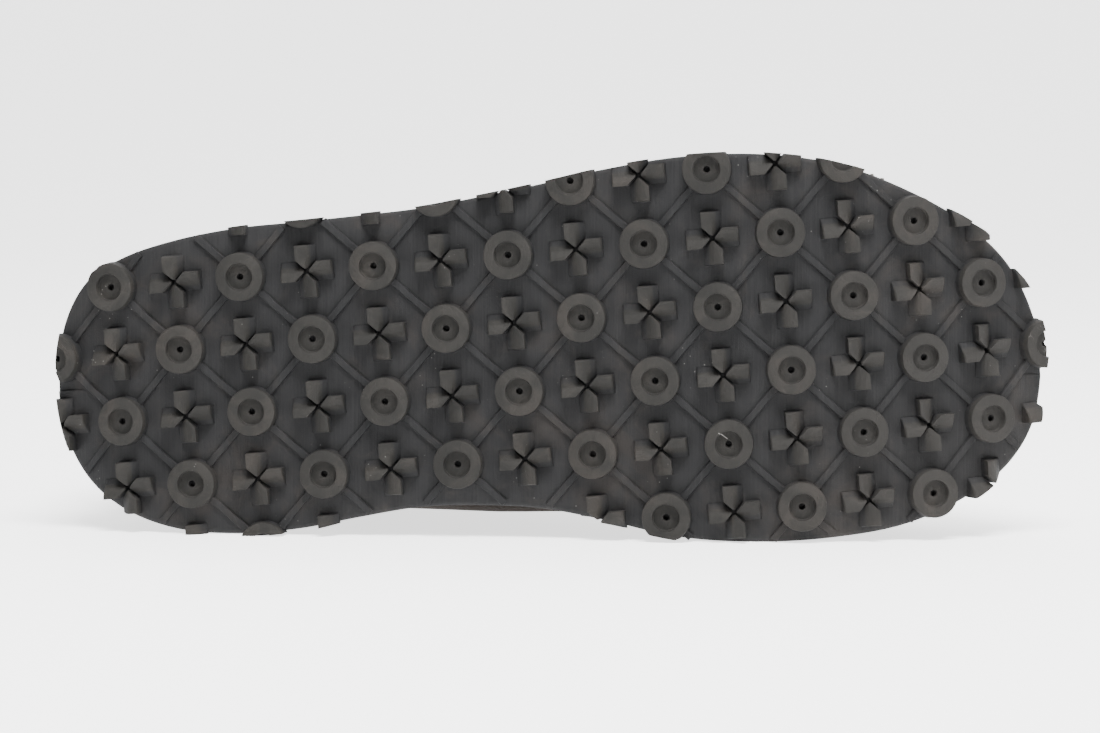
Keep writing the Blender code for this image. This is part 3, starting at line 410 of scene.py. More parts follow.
def skin(row, share):
    """A point of the upper: share 0 is the ridge, 1 the medial seat and -1 the lateral one."""
    if row >= HEEL_ROW and abs(share) > 1.0:
        share -= math.copysign(2.0, share)
    side = 1 if share >= 0 else -1
    curve, places, _ = half_section(row, side)
    wanted = min(1.0, abs(share))
    return Vector([float(np.interp(wanted, places, curve[:, n])) for n in range(3)])


@lru_cache(maxsize=None)
def skin_normal(row, share):
    row_step, share_step = 0.2, 0.02
    if row <= HEEL_ROW and (abs(share) > 0.9999 or row == 0):
        side = 1 if share >= 0 else -1
        place = section_value(row, "seat")
        (along, across), (out, aside) = edge(side, place, feather_inset(place))
        height = feather_height(along)
        foot = toe_bend(along, across, height)
        ahead = toe_bend(along + out * MM, across + aside * MM, height)
        return (ahead - foot).normalized()
    low_row, high_row = max(0.02, row - row_step), min(len(SECTIONS) - 1, row + row_step)
    along = skin(high_row, share) - skin(low_row, share)
    if row < HEEL_ROW:
        down = skin(row, min(1.0, share + share_step)) - skin(row, max(-1.0, share - share_step))
    else:
        down = skin(row, share + share_step) - skin(row, share - share_step)
    normal = along.cross(down).normalized()
    centre = (ridge_point(row) + seat_point(row, 1 if share >= 0 else -1)) / 2
    centre.y = section_value(row, "middle") * BALL_WIDTH
    return normal if normal.dot(skin(row, share) - centre) > 0 else -normal


def skin_point(row, share, offset):
    return skin(row, share) + skin_normal(row, share) * offset


def throat_share(row, side):
    progress = smooth_step(row, THROAT_ROW, COLLAR_ROW)
    half = THROAT_FRONT_HALF + (THROAT_TOP_HALF - THROAT_FRONT_HALF) * progress
    length = max(half_section(max(row, 0.02), side)[2], 1.0 * MM)
    return min(0.3, half / length)


def column_share(row, column):
    """The share of a section's length at a column, which may lie between two whole columns."""
    side = 1 if column >= 0 else -1
    throat = throat_share(row, side)
    number = abs(column)
    if number <= THROAT_COLUMN:
        return side * throat * number / THROAT_COLUMN
    return side * (throat + (1.0 - throat) * (number - THROAT_COLUMN) / (SEAT_COLUMN - THROAT_COLUMN))


def surface(row, column, offset):
    return skin_point(row, column_share(row, column), offset)


def loft(rings):
    """Points and faces of a closed solid through rings of equal length, capped at both ends."""
    count = len(rings[0])
    points = [point for ring in rings for point in ring]
    faces = [tuple(range(count))]
    for i in range(len(rings) - 1):
        for n in range(count):
            after = (n + 1) % count
            faces.append((i * count + n, i * count + after, (i + 1) * count + after, (i + 1) * count + n))
    faces.append(tuple(range((len(rings) - 1) * count, len(rings) * count)))
    return points, faces


def tread_point(number, side_number):
    """The middle of a lug of the lattice, (along, across)."""
    ahead = LATTICE_PITCH * np.array((math.cos(LATTICE_TURN), -math.sin(LATTICE_TURN)))
    aside = LATTICE_PITCH * np.array((math.sin(LATTICE_TURN), math.cos(LATTICE_TURN)))
    return np.array((LATTICE_START, LATTICE_SIDE)) + number * ahead + side_number * aside


def inside_edge(point, margin):
    """Whether a point of the tread lies inside the sole's edge moved outwards by margin."""
    best = None
    for _, points, normals in edge_curves().values():
        gaps = np.linalg.norm(points - point, axis=1)
        nearest = int(gaps.argmin())
        if best is None or gaps[nearest] < best[0]:
            best = (gaps[nearest], float(np.dot(point - points[nearest], normals[nearest])))
    return best[1] < margin


def lattice_places():
    """(number, side number, middle) of each lattice place near the sole."""
    across_count = int(BALL_WIDTH / LATTICE_PITCH) + 2
    along_count = int(TREAD_LENGTH / LATTICE_PITCH) + 3
    for side_number in range(-across_count, across_count + 1):
        for number in range(-4, along_count):
            yield number, side_number, tread_point(number, side_number)


def lattice_vector(along, across):
    """A vector in the lattice's own directions, turned into the tread's."""
    turn, lean = math.cos(LATTICE_TURN), math.sin(LATTICE_TURN)
    return np.array(((turn, lean), (-lean, turn))) @ np.array((along, across))


def sole_stations(count):
    """Shares of the edge, closer together round the toe and the heel."""
    first, last = STATION_END, 1.0 - STATION_END
    even = [n / count for n in range(count + 1)]
    return [first + (last - first) * (s - STATION_CROWDING * math.sin(4 * math.pi * s)) for s in even]


def plate_rings(stations, side_section, bend=None):
    """Sections across the sole. side_section gives (inset, height) up one side, from bottom to top."""
    rings = []
    for share in stations:
        sides = []
        for side in (-1, 1):
            points = []
            along_here = edge(side, share)[0][0]
            for inset, height in side_section(along_here, share):
                (along, across), _ = edge(side, share, inset)
                points.append((along, across, height))
            sides.append(points)
        ring = sides[0] + sides[1][::-1]
        rings.append([bend(*point) for point in ring] if bend else ring)
    return rings


def rows_between(low, high):
    return [row for row in ROWS if low <= row <= high]


def row_above_rim(column, height):
    """The row that lies a height above the collar's rim, measured on the surface at that column."""
    step = 0.1
    speed = (surface(COLLAR_ROW + step, column, 0.0) - surface(COLLAR_ROW, column, 0.0)).length / step
    return COLLAR_ROW + height / speed


def cuff_ring(column, swell):
    """The padding's outer line, then the faces next to the upper, which follow the upper's own rows."""
    inner_face = -UPPER_WALL - SEAT_GAP
    ring = []
    for up, above, outside in CUFF_SECTION:
        if above == 0:
            row = CUFF_ROW + (COLLAR_ROW - CUFF_ROW) * up
        else:
            row = row_above_rim(column, above * CUFF_RIM)
        reach = outside * CUFF_PAD * swell + (SEAT_GAP if outside > 0 else inner_face)
        ring.append(surface(row, column, reach))
    rim_row = row_above_rim(column, SEAT_GAP)
    rows = rows_between(CUFF_ROW, COLLAR_ROW)
    ring += [surface(row, column, inner_face) for row in [*rows[1:], rim_row]]
    ring += [surface(row, column, SEAT_GAP) for row in [rim_row, *reversed(rows)]]
    return ring


def wall_point(row, column, offset):
    """A point on the flat facets of a wall that follows the upper's rows and columns."""
    low_row = max(r for r in ROWS[:-1] if r <= row)
    high_row = min(r for r in ROWS if r > low_row)
    low, high = math.floor(column), math.floor(column) + 1
    up, over = (row - low_row) / (high_row - low_row), column - low
    near = surface(low_row, low, offset).lerp(surface(low_row, high, offset), over)
    far = surface(high_row, low, offset).lerp(surface(high_row, high, offset), over)
    return near.lerp(far, up)


def wall_matrix(row, column, offset):
    """A frame on a wall: Z out of it, X up the boot along its column."""
    step = 0.2
    up = (wall_point(row + step, column, offset) - wall_point(row - step, column, offset)).normalized()
    aside = wall_point(row, column + step, offset) - wall_point(row, column - step, offset)
    out = up.cross(aside).normalized()
    if out.dot(skin_normal(row, column_share(row, column))) < 0:
        out = -out
    turn = Matrix((up, out.cross(up), out)).transposed().to_4x4()
    return Matrix.Translation(wall_point(row, column, offset) + out * HARDWARE_GAP) @ turn


def hook_shape():
    """A lace hook: a metal strip bent back over itself, open towards the sole."""
    back, front = HOOK_LENGTH / 2, -HOOK_LENGTH / 2
    top, metal = HOOK_HEIGHT, HOOK_METAL
    lip = front + 0.3 * HOOK_LENGTH
    strip = (
        (front, 0.0), (back - metal, 0.0), (back, 0.35 * top), (back, 0.7 * top),
        (back - 1.5 * metal, top), (lip, top), (front + metal, 0.85 * top),
        (front + 1.6 * metal, 0.85 * top - metal), (lip + metal, top - metal),
        (back - 2 * metal, top - metal), (back - metal, 0.65 * top), (back - metal, 0.4 * top),
        (back - 2 * metal, metal), (front, metal),
    )
    rings = [[(x, y, z) for x, z in strip] for y in (-HOOK_WIDTH / 2, HOOK_WIDTH / 2)]
    return loft(rings)


# Steps of the shown walls between two rows or two columns
FINE = 4


def fine_rows(low, high, per_row=FINE):
    """Rows from low to high, per_row steps to each, closer together round the toe tip and the heel."""
    rows = [0.0, 0.5] if low == 0 else []
    row = max(low, 0.6) if low == 0 else low
    while row < high - 1e-6:
        rows.append(round(row, 4))
        crowded = row < 3 or 10.5 <= row < 12
        row += 1.0 / (per_row * (2 if crowded else 1))
    return rows + [high]


def fine_columns(low, high, per_column=FINE):
    count = int(round((high - low) * per_column))
    return [low + (high - low) * n / count for n in range(count + 1)]


# The padded oval over the ankle and the mesh drain window: middle row and column, half height and width
ANKLE_PAD = (13.9, 8.3, 1.55, 1.75)
ANKLE_SWELL = 1.6 * MM
DRAIN_WINDOW = (6.15, 8.9, 0.5, 1.05)
SEAM_ROW = 7.35
SEAM_LEAN = -0.05

# Soft troughs (below 0) and ridges (above 0) where the boot flexes: row, how far the line leans per
# column, width in rows, depth, column in the middle, spread in columns
CREASES = (
    (5.15, 0.02, 0.20, -0.9 * MM, 0.0, 8.0),
    (5.60, 0.03, 0.22, 0.5 * MM, 0.0, 7.5),
    (6.05, 0.04, 0.20, -0.8 * MM, 1.0, 8.0),
    (10.90, -0.03, 0.28, -1.0 * MM, 6.5, 3.2),
    (11.60, -0.05, 0.25, 0.6 * MM, 7.0, 3.0),
    (13.50, -0.02, 0.22, -0.8 * MM, 8.0, 3.4),
    (14.20, 0.03, 0.26, 0.5 * MM, 7.5, 3.0),
    (14.85, 0.04, 0.20, -0.7 * MM, 7.0, 3.0),
)

# The hide's hollow over the arch, on the medial side only: row and column in its middle, how far it
# spreads in rows and in columns, and its depth
ARCH_HOLLOW = (8.3, 9.0, 1.2, 2.6, -3.6 * MM)


def pad_reach(row, side):
    """0 in the middle of the ankle's pad, 1 on its seam, more outside it."""
    middle_row, middle_side, half_rows, half_sides = ANKLE_PAD
    return math.sqrt(((row - middle_row) / half_rows) ** 2 + ((side - middle_side) / half_sides) ** 2)


def crease(row, column):
    """How far the hide stands off its smooth surface at a place."""
    side = abs(column)
    lift = ANKLE_SWELL * (1.0 - smooth_step(pad_reach(row, side), 0.55, 1.0))
    for middle, lean, width, depth, centre, spread in CREASES:
        across = (row - middle - lean * side) / width
        if abs(across) < 3.0:
            lift += depth * math.exp(-across * across - ((side - centre) / spread) ** 4)
    if column > 0:
        middle, centre, rows_wide, columns_wide, depth = ARCH_HOLLOW
        lift += depth * math.exp(-((row - middle) / rows_wide) ** 2 - ((side - centre) / columns_wide) ** 4)
    return lift


def boot_surface(row, column, offset):
    return surface(row, column, offset + crease(row, column))


def boot_pose():
    """The turn and move that lay the boot on its side, from the record's mount on a ring of the tread."""
    mount = next(m for m in frame["record"]["mounts"] if m["name"] == "tread_face")
    out = Vector(mount["axis"]).normalized()
    up = Vector((out.x / -out.z, 0.0, -out.z))
    up.y = -math.sqrt(1.0 - up.x * up.x - up.z * up.z)
    ahead = (Vector((1, 0, 0)) - up * up.x).normalized()
    turn = Matrix((ahead, up.cross(ahead), up)).to_4x4()
    number, side_number = MOUNT_RING
    middle = tread_point(number, side_number)
    place = Vector((middle[0] + (RING_DIAMETER + RECESS_DIAMETER) / 4, middle[1], 0.0))
    return Matrix.Translation(Vector(mount["pos_m"]) - turn @ place) @ turn


POSE = boot_pose()


def raw_object(name, points, faces):
    """An object in the scene from points and faces, with its faces turned outwards."""
    obj = bpy.data.objects.new(name, bpy.data.meshes.new(name))
    obj.data.from_pydata([tuple(p) for p in points], [], faces)
    bpy.context.scene.collection.objects.link(obj)
    work = bmesh.new()
    work.from_mesh(obj.data)
    bmesh.ops.recalc_face_normals(work, faces=work.faces)
    work.to_mesh(obj.data)
    work.free()
    return obj


def piece(name, points, faces, material, replaces=(), inner=None, sharp=50, uvs=None):
    """A shown object from points in the boot's own frame. inner is (count of first faces, material)."""
    obj = raw_object(name, [POSE @ Vector(p) for p in points], faces)
    mesh = obj.data
    mesh.materials.append(material)
    if inner:
        mesh.materials.append(inner[1])
        for polygon in mesh.polygons[inner[0]:]:
            polygon.material_index = 1
    if uvs:
        layer = mesh.uv_layers.new(name="along")
        for loop in mesh.loops:
            layer.data[loop.index].uv = uvs[loop.vertex_index]
    mesh.shade_smooth()
    mesh.set_sharp_from_angle(angle=math.radians(sharp))
    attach(obj, "root")
    if replaces:
        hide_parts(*replaces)
    return obj


def only(obj):
    bpy.ops.object.select_all(action="DESELECT")
    obj.select_set(True)
    bpy.context.view_layer.objects.active = obj


def apply_modifier(obj, kind, **settings):
    modifier = obj.modifiers.new(kind.lower(), kind)
    for key, value in settings.items():
        setattr(modifier, key, value)
    only(obj)
    bpy.ops.object.modifier_apply(modifier=modifier.name)


def cut_to(obj, points, faces):
    """Keeps what lies inside a closed outline."""
    cutter = raw_object(obj.name + "_outline", points, faces)
    apply_modifier(obj, "BOOLEAN", operation="INTERSECT", solver="EXACT", object=cutter)
    bpy.data.objects.remove(cutter, do_unlink=True)


def soften(obj, width, segments=2, angle=50):
    apply_modifier(
        obj, "BEVEL", width=width, segments=segments, limit_method="ANGLE",
        angle_limit=math.radians(angle), harden_normals=False,
    )
    obj.data.shade_smooth()
    obj.data.set_sharp_from_angle(angle=math.radians(60))


def fine_shell(rows, columns, used, inner, outer):
    """Points, faces, how many faces the outer side has, and each point's place: (row, side)."""
    numbers, outside, inside, places_of = {}, [], [], []

    def vertex(row, column):
        if row == 0:
            column = 0
        point = boot_surface(row, column, outer)
        key = tuple(round(value / (0.02 * MM)) for value in point)
        if key not in numbers:
            numbers[key] = len(outside)
            outside.append(point)
            inside.append(boot_surface(row, column, inner))
            places_of.append((row, abs(column)))
        return numbers[key]

    cells = []
    for low_row, high_row in zip(rows, rows[1:]):
        for low, high in zip(columns, columns[1:]):
            if not used((low_row + high_row) / 2, (low + high) / 2):
                continue
            places = ((low_row, low), (low_row, high), (high_row, high), (high_row, low))
            cell = list(dict.fromkeys(vertex(*place) for place in places))
            if len(cell) > 2:
                cells.append(tuple(cell))
    walked = {(cell[n - 1], cell[n]) for cell in cells for n in range(len(cell))}
    count = len(outside)
    rim = [(b, a, count + a, count + b) for a, b in walked if (b, a) not in walked]
    faces = cells + rim + [tuple(count + c for c in reversed(cell)) for cell in cells]
    return outside + inside, faces, len(cells) + len(rim), places_of * 2


def mark_places(obj, places):
    """Keeps each point's row and its distance from the ridge in columns, for the material to read."""
    for name, axis in (("row", 0), ("side", 1)):
        values = obj.data.attributes.new(name, "FLOAT", "POINT")
        for n, place in enumerate(places):
            values.data[n].value = place[axis]


def wall_piece(name, node, material, rows, column, used, inner, outer):
    """A fine wall between two offsets of the upper's surface, out to a column on both sides."""
    points, faces, _, _ = fine_shell(rows, fine_columns(-column, column), used, inner, outer)
    return piece(name, points, faces, material, [node])


def beside_throat(row, column):
    return row < THROAT_ROW or abs(column) > THROAT_COLUMN


# The tread, built flat and then bent: heights are measured up from the walking plane
RING_SEGMENTS = 40
SIDE_RING_SHARE = 0.8
RECESS_SHOWN = RECESS_DEPTH + 0.6 * MM
PILOT_HOLE = 2.1 * MM
PILOT_DEPTH = 3.2 * MM
EDGE_ROUND = 0.4 * MM
BLOCK_STEPS = 9
BLOCK_EDGE = 0.12 * MM
BLOCK_FOOT = 0.35 * MM
BLOCK_CURVE = 1.7
INNER_LUG_MARGIN = 1.5 * MM
RIB_WIDTH = 2.5 * MM
RIB_HEIGHT = 1.0 * MM
RIB_MARGIN = 0.5 * MM
RIB_OVERLAP = 0.3 * MM
RIB_TESTS = 12
SHORTEST_RIB = 0.1

# How far the edge lugs' faces are cut back at the heel's and the toe's end, and from how far off
HEEL_CUT = 3.2 * MM
TOE_CUT = 1.2 * MM
END_REACH = 25 * MM

# How far the middle of an edge block may lie outside the sole's edge, and the lattice place and arm of
# two edge blocks that the photograph doesn't show
ARM_KEPT = 2.4 * MM
ARMS_LEFT_OUT = ((13, 1, 0, -1), (6, 2, -1, 0))


class Solids:
    """Points and faces of many solids in one mesh."""

    def __init__(self):
        self.points, self.faces = [], []

    def add(self, points, faces):
        self.faces += [tuple(len(self.points) + n for n in face) for face in faces]
        self.points += points


def ring_rings(middle, twist):
    """A ring lug from its root over the flat ring into the recess and the pilot hole."""
    outer, inner, pilot = RING_DIAMETER / 2, RECESS_DIAMETER / 2, PILOT_HOLE / 2
    soft = EDGE_ROUND
    levels = (
        (outer + 0.35 * MM, LUG_HEIGHT + LUG_ROOT), (outer + 0.35 * MM, LUG_HEIGHT),
        (outer + 0.1 * MM, LUG_HEIGHT - 0.6 * MM), (outer, soft * 1.4), (outer - soft * 0.3, soft * 0.45),
        (outer - soft, 0.0), (inner + 0.85 * MM, 0.0), (inner + 0.5 * MM, -0.16 * MM),
        (inner + 0.2 * MM, -0.1 * MM), (inner + 0.05 * MM, 0.15 * MM), (inner, 0.45 * MM),
        (inner - 0.05 * MM, RECESS_SHOWN - 0.25 * MM), (inner - 0.35 * MM, RECESS_SHOWN),
        (pilot + 0.2 * MM, RECESS_SHOWN), (pilot, RECESS_SHOWN + 0.2 * MM),
        (pilot * 0.9, RECESS_DEPTH + PILOT_DEPTH),
    )
    turns = [twist + 2 * math.pi * n / RING_SEGMENTS for n in range(RING_SEGMENTS)]
    return [
        [(middle[0] + r * math.cos(t), middle[1] + r * math.sin(t), h) for t in turns] for r, h in levels
    ]


def block_rings(middle, arm):
    """One of the four blocks of a cross: level along its tall side, rounding off down to its low side."""
    tall = (arm[1], -arm[0])
    half = CROSS_ARM_WIDTH / 2
    tip = CROSS_SLIT / math.sqrt(2)
    root = LUG_HEIGHT + LUG_ROOT
    rings = []
    for n in range(BLOCK_STEPS + 1):
        share = n / BLOCK_STEPS
        aside = half * (1 - 2 * share)
        near, far = tip + abs(aside), CROSS_ARM
        drop = (LUG_HEIGHT - BLOCK_FOOT) * share ** BLOCK_CURVE
        if n == 0:
            drop = BLOCK_EDGE
        profile = (
            (near - 0.15 * MM, root), (near, drop + BLOCK_EDGE), (near + BLOCK_EDGE, drop),
            (far - EDGE_ROUND, drop), (far, drop + EDGE_ROUND), (far + 0.3 * MM, LUG_HEIGHT),
            (far + 0.3 * MM, root),
        )
        ring = []
        for out, height in profile:
            spot = lattice_vector(out * arm[0] + aside * tall[0], out * arm[1] + aside * tall[1])
            ring.append((*(middle + spot), height))
        rings.append(ring)
    return rings


def rib_rings(start, end):
    """A low rib on the plate between two rings."""
    ahead = (end - start) / np.linalg.norm(end - start)
    aside = np.array((-ahead[1], ahead[0])) * RIB_WIDTH / 2
    flank = ((-1.15, 0.4), (-1.0, 0.0), (-0.9, -0.8), (-0.72, -1.0))
    shape = [*flank, *((-a, h) for a, h in reversed(flank))]
    return [
        [(*(spot + aside * a), LUG_HEIGHT + h * RIB_HEIGHT) for a, h in shape]
        for spot in (start + (end - start) * n / 6 for n in range(7))
    ]


def end_cut(along):
    """How far the faces of the edge lugs are cut back at the heel and the toe, where they lean outwards."""
    heel = max(0.0, 1.0 - along / END_REACH)
    toe = max(0.0, 1.0 - (TREAD_LENGTH - along) / END_REACH)
    return HEEL_CUT * heel + TOE_CUT * toe


def trimmed(lugs):
    """Points and faces of the lugs near the edge, cut off at the sole's outline."""

    def side_section(along, share):
        # the wall leans inwards below the plate, by end_cut at the walking plane and three times that here
        lowest = (3 * end_cut(along) - LUG_OVERHANG, -2 * LUG_HEIGHT)
        return lowest, (-LUG_OVERHANG, LUG_HEIGHT), (-LUG_OVERHANG * 1.6, 2 * base_top())

    whole = raw_object("edge_lugs", lugs.points, lugs.faces)
    cut_to(whole, *loft(plate_rings(sole_stations(120), side_section)))
    points = [tuple(v.co) for v in whole.data.vertices]
    faces = [tuple(p.vertices) for p in whole.data.polygons]
    bpy.data.objects.remove(whole, do_unlink=True)
    return points, faces


def bent(points):
    return [tread_bend(*point) for point in points]


def lattice_lugs():
    """The ring and cross lugs, those well inside the sole's edge and those near it."""
    inner, near_edge = Solids(), Solids()
    for number, side_number, middle in lattice_places():
        lugs = inner if inside_edge(middle, -(CROSS_ARM + INNER_LUG_MARGIN)) else near_edge
        if (number + side_number) % 2 == 1:
            share = SIDE_RING_SHARE if middle[1] < 0 else RING_KEPT_SHARE
            if inside_edge(middle, share * RING_DIAMETER / 2):
                lugs.add(*loft(ring_rings(middle, 0.7 * number + 1.3 * side_number)))
            continue
        for arm in ((1, 0), (0, -1), (-1, 0), (0, 1)):
            block_middle = middle + lattice_vector(*arm) * CROSS_ARM / 2
            left_out = (number, side_number, *arm) in ARMS_LEFT_OUT
            if inside_edge(block_middle, ARM_KEPT) and not left_out:
                lugs.add(*loft(block_rings(middle, arm)))
    return inner, near_edge


def lattice_ribs():
    """The low diagonal ribs from ring to ring, as far as they lie on the plate."""
    ribs = Solids()
    reach = RING_DIAMETER / 2 - RIB_OVERLAP
    for number, side_number, middle in lattice_places():
        if (number + side_number) % 2 == 0:
            continue
        for step in (1, -1):
            other = tread_point(number + 1, side_number + step)
            ahead = (other - middle) / np.linalg.norm(other - middle)
            start, end = middle + ahead * reach, other - ahead * reach
            spots = [start + (end - start) * n / RIB_TESTS for n in range(RIB_TESTS + 1)]
            inside = [inside_edge(spot, -RIB_MARGIN) for spot in spots]
            if not any(inside):
                continue
            first, last = inside.index(True) / RIB_TESTS, 1.0 - inside[::-1].index(True) / RIB_TESTS
            if last - first > SHORTEST_RIB:
                ribs.add(*loft(rib_rings(start + (end - start) * first, start + (end - start) * last)))
    return ribs


def make_tread(rubber):
    """The plate and every lug of the outsole."""

    def side_section(along, share):
        chamfer = ((1.0, 0.0), (0.45, 0.3), (0.1, 0.75), (0.0, 1.2))
        curve = [(inset * BASE_CHAMFER, LUG_HEIGHT + up * BASE_CHAMFER) for inset, up in chamfer]
        return [(12.0 * MM, LUG_HEIGHT), *curve, (0.0, base_top())]

    whole = Solids()
    whole.add(*loft(plate_rings(sole_stations(150), side_section)))
    inner, near_edge = lattice_lugs()
    for lugs in (inner, lattice_ribs()):
        whole.add(lugs.points, lugs.faces)
    whole.add(*trimmed(near_edge))
    tread = piece("tread", bent(whole.points), whole.faces, rubber, ["outsole"], sharp=38)
    tips = tread.data.attributes.new("tip", "FLOAT", "POINT")
    for n, point in enumerate(whole.points):
        tips.data[n].value = 1.0 - point[2] / LUG_HEIGHT


def make_side(foam):
    """The midsole's side: a soft lower band, a groove and the flared upper part."""
    low = base_top() + SEAT_GAP

    def side_section(along, share):
        rise = midsole_top(along) - low
        ledge = feather_inset(share) - MIDSOLE_LEDGE
        band, groove = MIDSOLE_INSET - 0.7 * MM, MIDSOLE_INSET + MIDSOLE_STEP
        profile = (
            (MIDSOLE_INSET + 0.7 * MM, 0.0), (MIDSOLE_INSET, 0.05), (band, 0.15), (band, 0.26),
            (MIDSOLE_INSET, 0.32), (groove, 0.36), (groove, 0.42), (MIDSOLE_INSET + 0.7 * MIDSOLE_STEP, 0.48),
            (0.5 * (groove + ledge), 0.72), (ledge, 0.95), (ledge + 0.8 * MM, 1.0),
        )
        return [(inset, low + up * rise) for inset, up in profile]

    def bend(along, across, height):
        lift = smooth_step(height, low, low + FOREFOOT_MIDSOLE)
        return tread_bend(along, across, height).lerp(toe_bend(along, across, height), lift)

    points, faces = loft(plate_rings(sole_stations(140), side_section, bend))
    piece("midsole_side", points, faces, foam, ["midsole"])


def make_footbed(lining):
    def side_section(along, share):
        inset = feather_inset(share) + UPPER_WALL + INSOLE_SIDE_GAP
        low = midsole_top(along) + SEAT_GAP
        top = low + INSOLE_THICKNESS
        return (
            (inset, low), (inset, top - 0.8 * MM), (inset + 0.3 * MM, top - 0.2 * MM),
            (inset + 1.0 * MM, top), (inset + 10.0 * MM, top),
        )

    points, faces = loft(plate_rings(sole_stations(110), side_section, toe_bend))
    piece("footbed", points, faces, lining, ["insole"])


def make_body(hide, lining):
    columns = fine_columns(-SEAT_COLUMN, SEAT_COLUMN)
    points, faces, outer_count, places = fine_shell(
        fine_rows(0, COLLAR_ROW), columns, beside_throat, -UPPER_WALL, 0.0
    )
    body = piece("hide_body", points, faces, hide, ["upper"], (outer_count, lining))
    mark_places(body, places)


def make_cap(rubber):
    def used(row, column):
        return row < TOE_CAP_ROW or abs(column) > RAND_COLUMN

    cap = wall_piece(
        "toe_guard", "toe_cap", rubber, fine_rows(0, RAND_ROW), SEAT_COLUMN, used,
        SEAT_GAP, SEAT_GAP + TOE_CAP_THICKNESS,
    )
    soften(cap, 0.5 * MM)


def make_counter(rubber):
    """The heel's rubber wall, cut off at its curved side outline."""
    counter = wall_piece(
        "heel_guard", "heel_counter", rubber, fine_rows(COUNTER_FRONT_ROW, COUNTER_TOP_ROW),
        SEAT_COLUMN, lambda row, column: abs(column) > COUNTER_COLUMN, SEAT_GAP, SEAT_GAP + COUNTER_THICKNESS,
    )
    heel = seat_point(HEEL_ROW, 1)
    knots, per_span = [np.array(p) for p in COUNTER_EDGE[2:-1]], 5
    curve = spline(knots, per_span)[: per_span * (len(knots) - 1) + 1]
    outline = [*COUNTER_EDGE[:2], *curve, COUNTER_EDGE[-1]]
    rings = []
    for across in (-BALL_WIDTH, BALL_WIDTH):
        places = [(out * COUNTER_LENGTH, across, up * COUNTER_HEIGHT) for out, up in outline]
        rings.append([POSE @ Vector((heel.x + x, y, heel.z + z)) for x, y, z in places])
    cut_to(counter, *loft(rings))
    soften(counter, 0.4 * MM)


def make_stay(hide):
    stay = wall_piece(
        "lace_stay", "eyestay", hide, fine_rows(THROAT_ROW - 1, COLLAR_ROW), EYESTAY_COLUMN,
        beside_throat, SEAT_GAP, SEAT_GAP + EYESTAY_THICKNESS,
    )
    soften(stay, 0.5 * MM)


def make_tongue_pad(padding):
    outer = -UPPER_WALL - SEAT_GAP
    tongue = wall_piece(
        "tongue_pad", "tongue", padding, fine_rows(TONGUE_FRONT_ROW, TONGUE_TOP_ROW),
        TONGUE_COLUMN, lambda row, column: True, outer - TONGUE_THICKNESS, outer,
    )
    soften(tongue, 1.6 * MM, 3)


def make_collar(padding):
    """The cuff's padding, lofted round the collar between the two sides of the eyestay."""
    side = [EYESTAY_COLUMN + 0.05] + fine_columns(EYESTAY_COLUMN + 0.3, SEAT_COLUMN, 3)
    rings = []
    for column in side + [-c for c in reversed(side[:-1])]:
        near_end = min(1.0, (abs(column) - EYESTAY_COLUMN) / 0.9)
        swell = math.sqrt(max(0.0, 1.0 - (1.0 - near_end) ** 2))
        rings.append(cuff_ring(column, 0.45 + 0.55 * swell))
    points, faces = loft(rings)
    collar = piece("collar_pad", points, faces, padding, ["collar_cuff"], sharp=70)
    apply_modifier(collar, "SUBSURF", levels=2, render_levels=2)
    collar.data.shade_smooth()


# Laces: steps along a run, share of it that dips at each end, and how deep
LACE_STEPS = 28
LACE_END_SHARE = 0.16
LACE_END_DIP = 1.6 * MM

# Rivets of the hooks: radius, height in radii and place behind the hook's middle in hook lengths
RIVET_RADIUS = 1.9 * MM
RIVET_FLATNESS = 0.35
RIVET_BACK = 0.22

# Stitches: share of the pitch left free at each end, then for each section of a stitch its share of the
# length, its height in millimetres and its share of the radius
STITCH_PITCH = 3.1 * MM
STITCH_GAP = 0.12
STITCH_RADIUS = 0.33 * MM
STITCH_SIDES = 6
STITCH_SHAPE = ((0.0, -0.25, 0.5), (0.2, 0.12, 1.0), (0.5, 0.2, 1.0), (0.8, 0.12, 1.0), (1.0, -0.25, 0.5))


def ribbon(points, outs, half_width, half_height, ends=True):
    """Rings of a soft-edged flat band along points, and a (round, along) place for each vertex."""
    rings, uvs = [], []
    count = 12
    length = 0.0
    last = len(points) - 1
    for n, (point, out) in enumerate(zip(points, outs)):
        ahead = (points[min(n + 1, last)] - points[max(n - 1, 0)]).normalized()
        across = ahead.cross(out).normalized()
        rise = across.cross(ahead)
        if n:
            length += (point - points[n - 1]).length
        taper = 0.55 if ends and n in (0, last) else 1.0
        ring = []
        for k in range(count):
            turn = 2 * math.pi * (k + 0.5) / count
            a = math.copysign(abs(math.cos(turn)) ** 0.45, math.cos(turn)) * half_width * taper
            b = math.copysign(abs(math.sin(turn)) ** 0.7, math.sin(turn)) * half_height * taper
            ring.append(point + across * a + rise * b)
            uvs.append((a, length))
        rings.append(ring)
    return rings, uvs


def lace_path(row_from, row_to, side, lift):
    """From an eyelet or hook on one side over the throat to the next one on the other side."""
    points, outs = [], []
    reach = LACE_COLUMN - 0.05
    base = SEAT_GAP + EYESTAY_THICKNESS
    for n in range(LACE_STEPS + 1):
        share = n / LACE_STEPS
        column = reach * (1 - 2 * share)
        row = row_from + (row_to - row_from) * share
        middle = math.exp(-((share - 0.5) / LACE_END_SHARE) ** 2)
        end = max(0.0, abs(2 * share - 1) - (1.0 - LACE_END_SHARE)) / LACE_END_SHARE
        height = LACE_GAP + LACE_HEIGHT / 2 + lift * middle - LACE_END_DIP * end
        points.append(surface(row, side * column, base + height))
        outs.append(skin_normal(row, column_share(row, side * column)))
    return points, outs


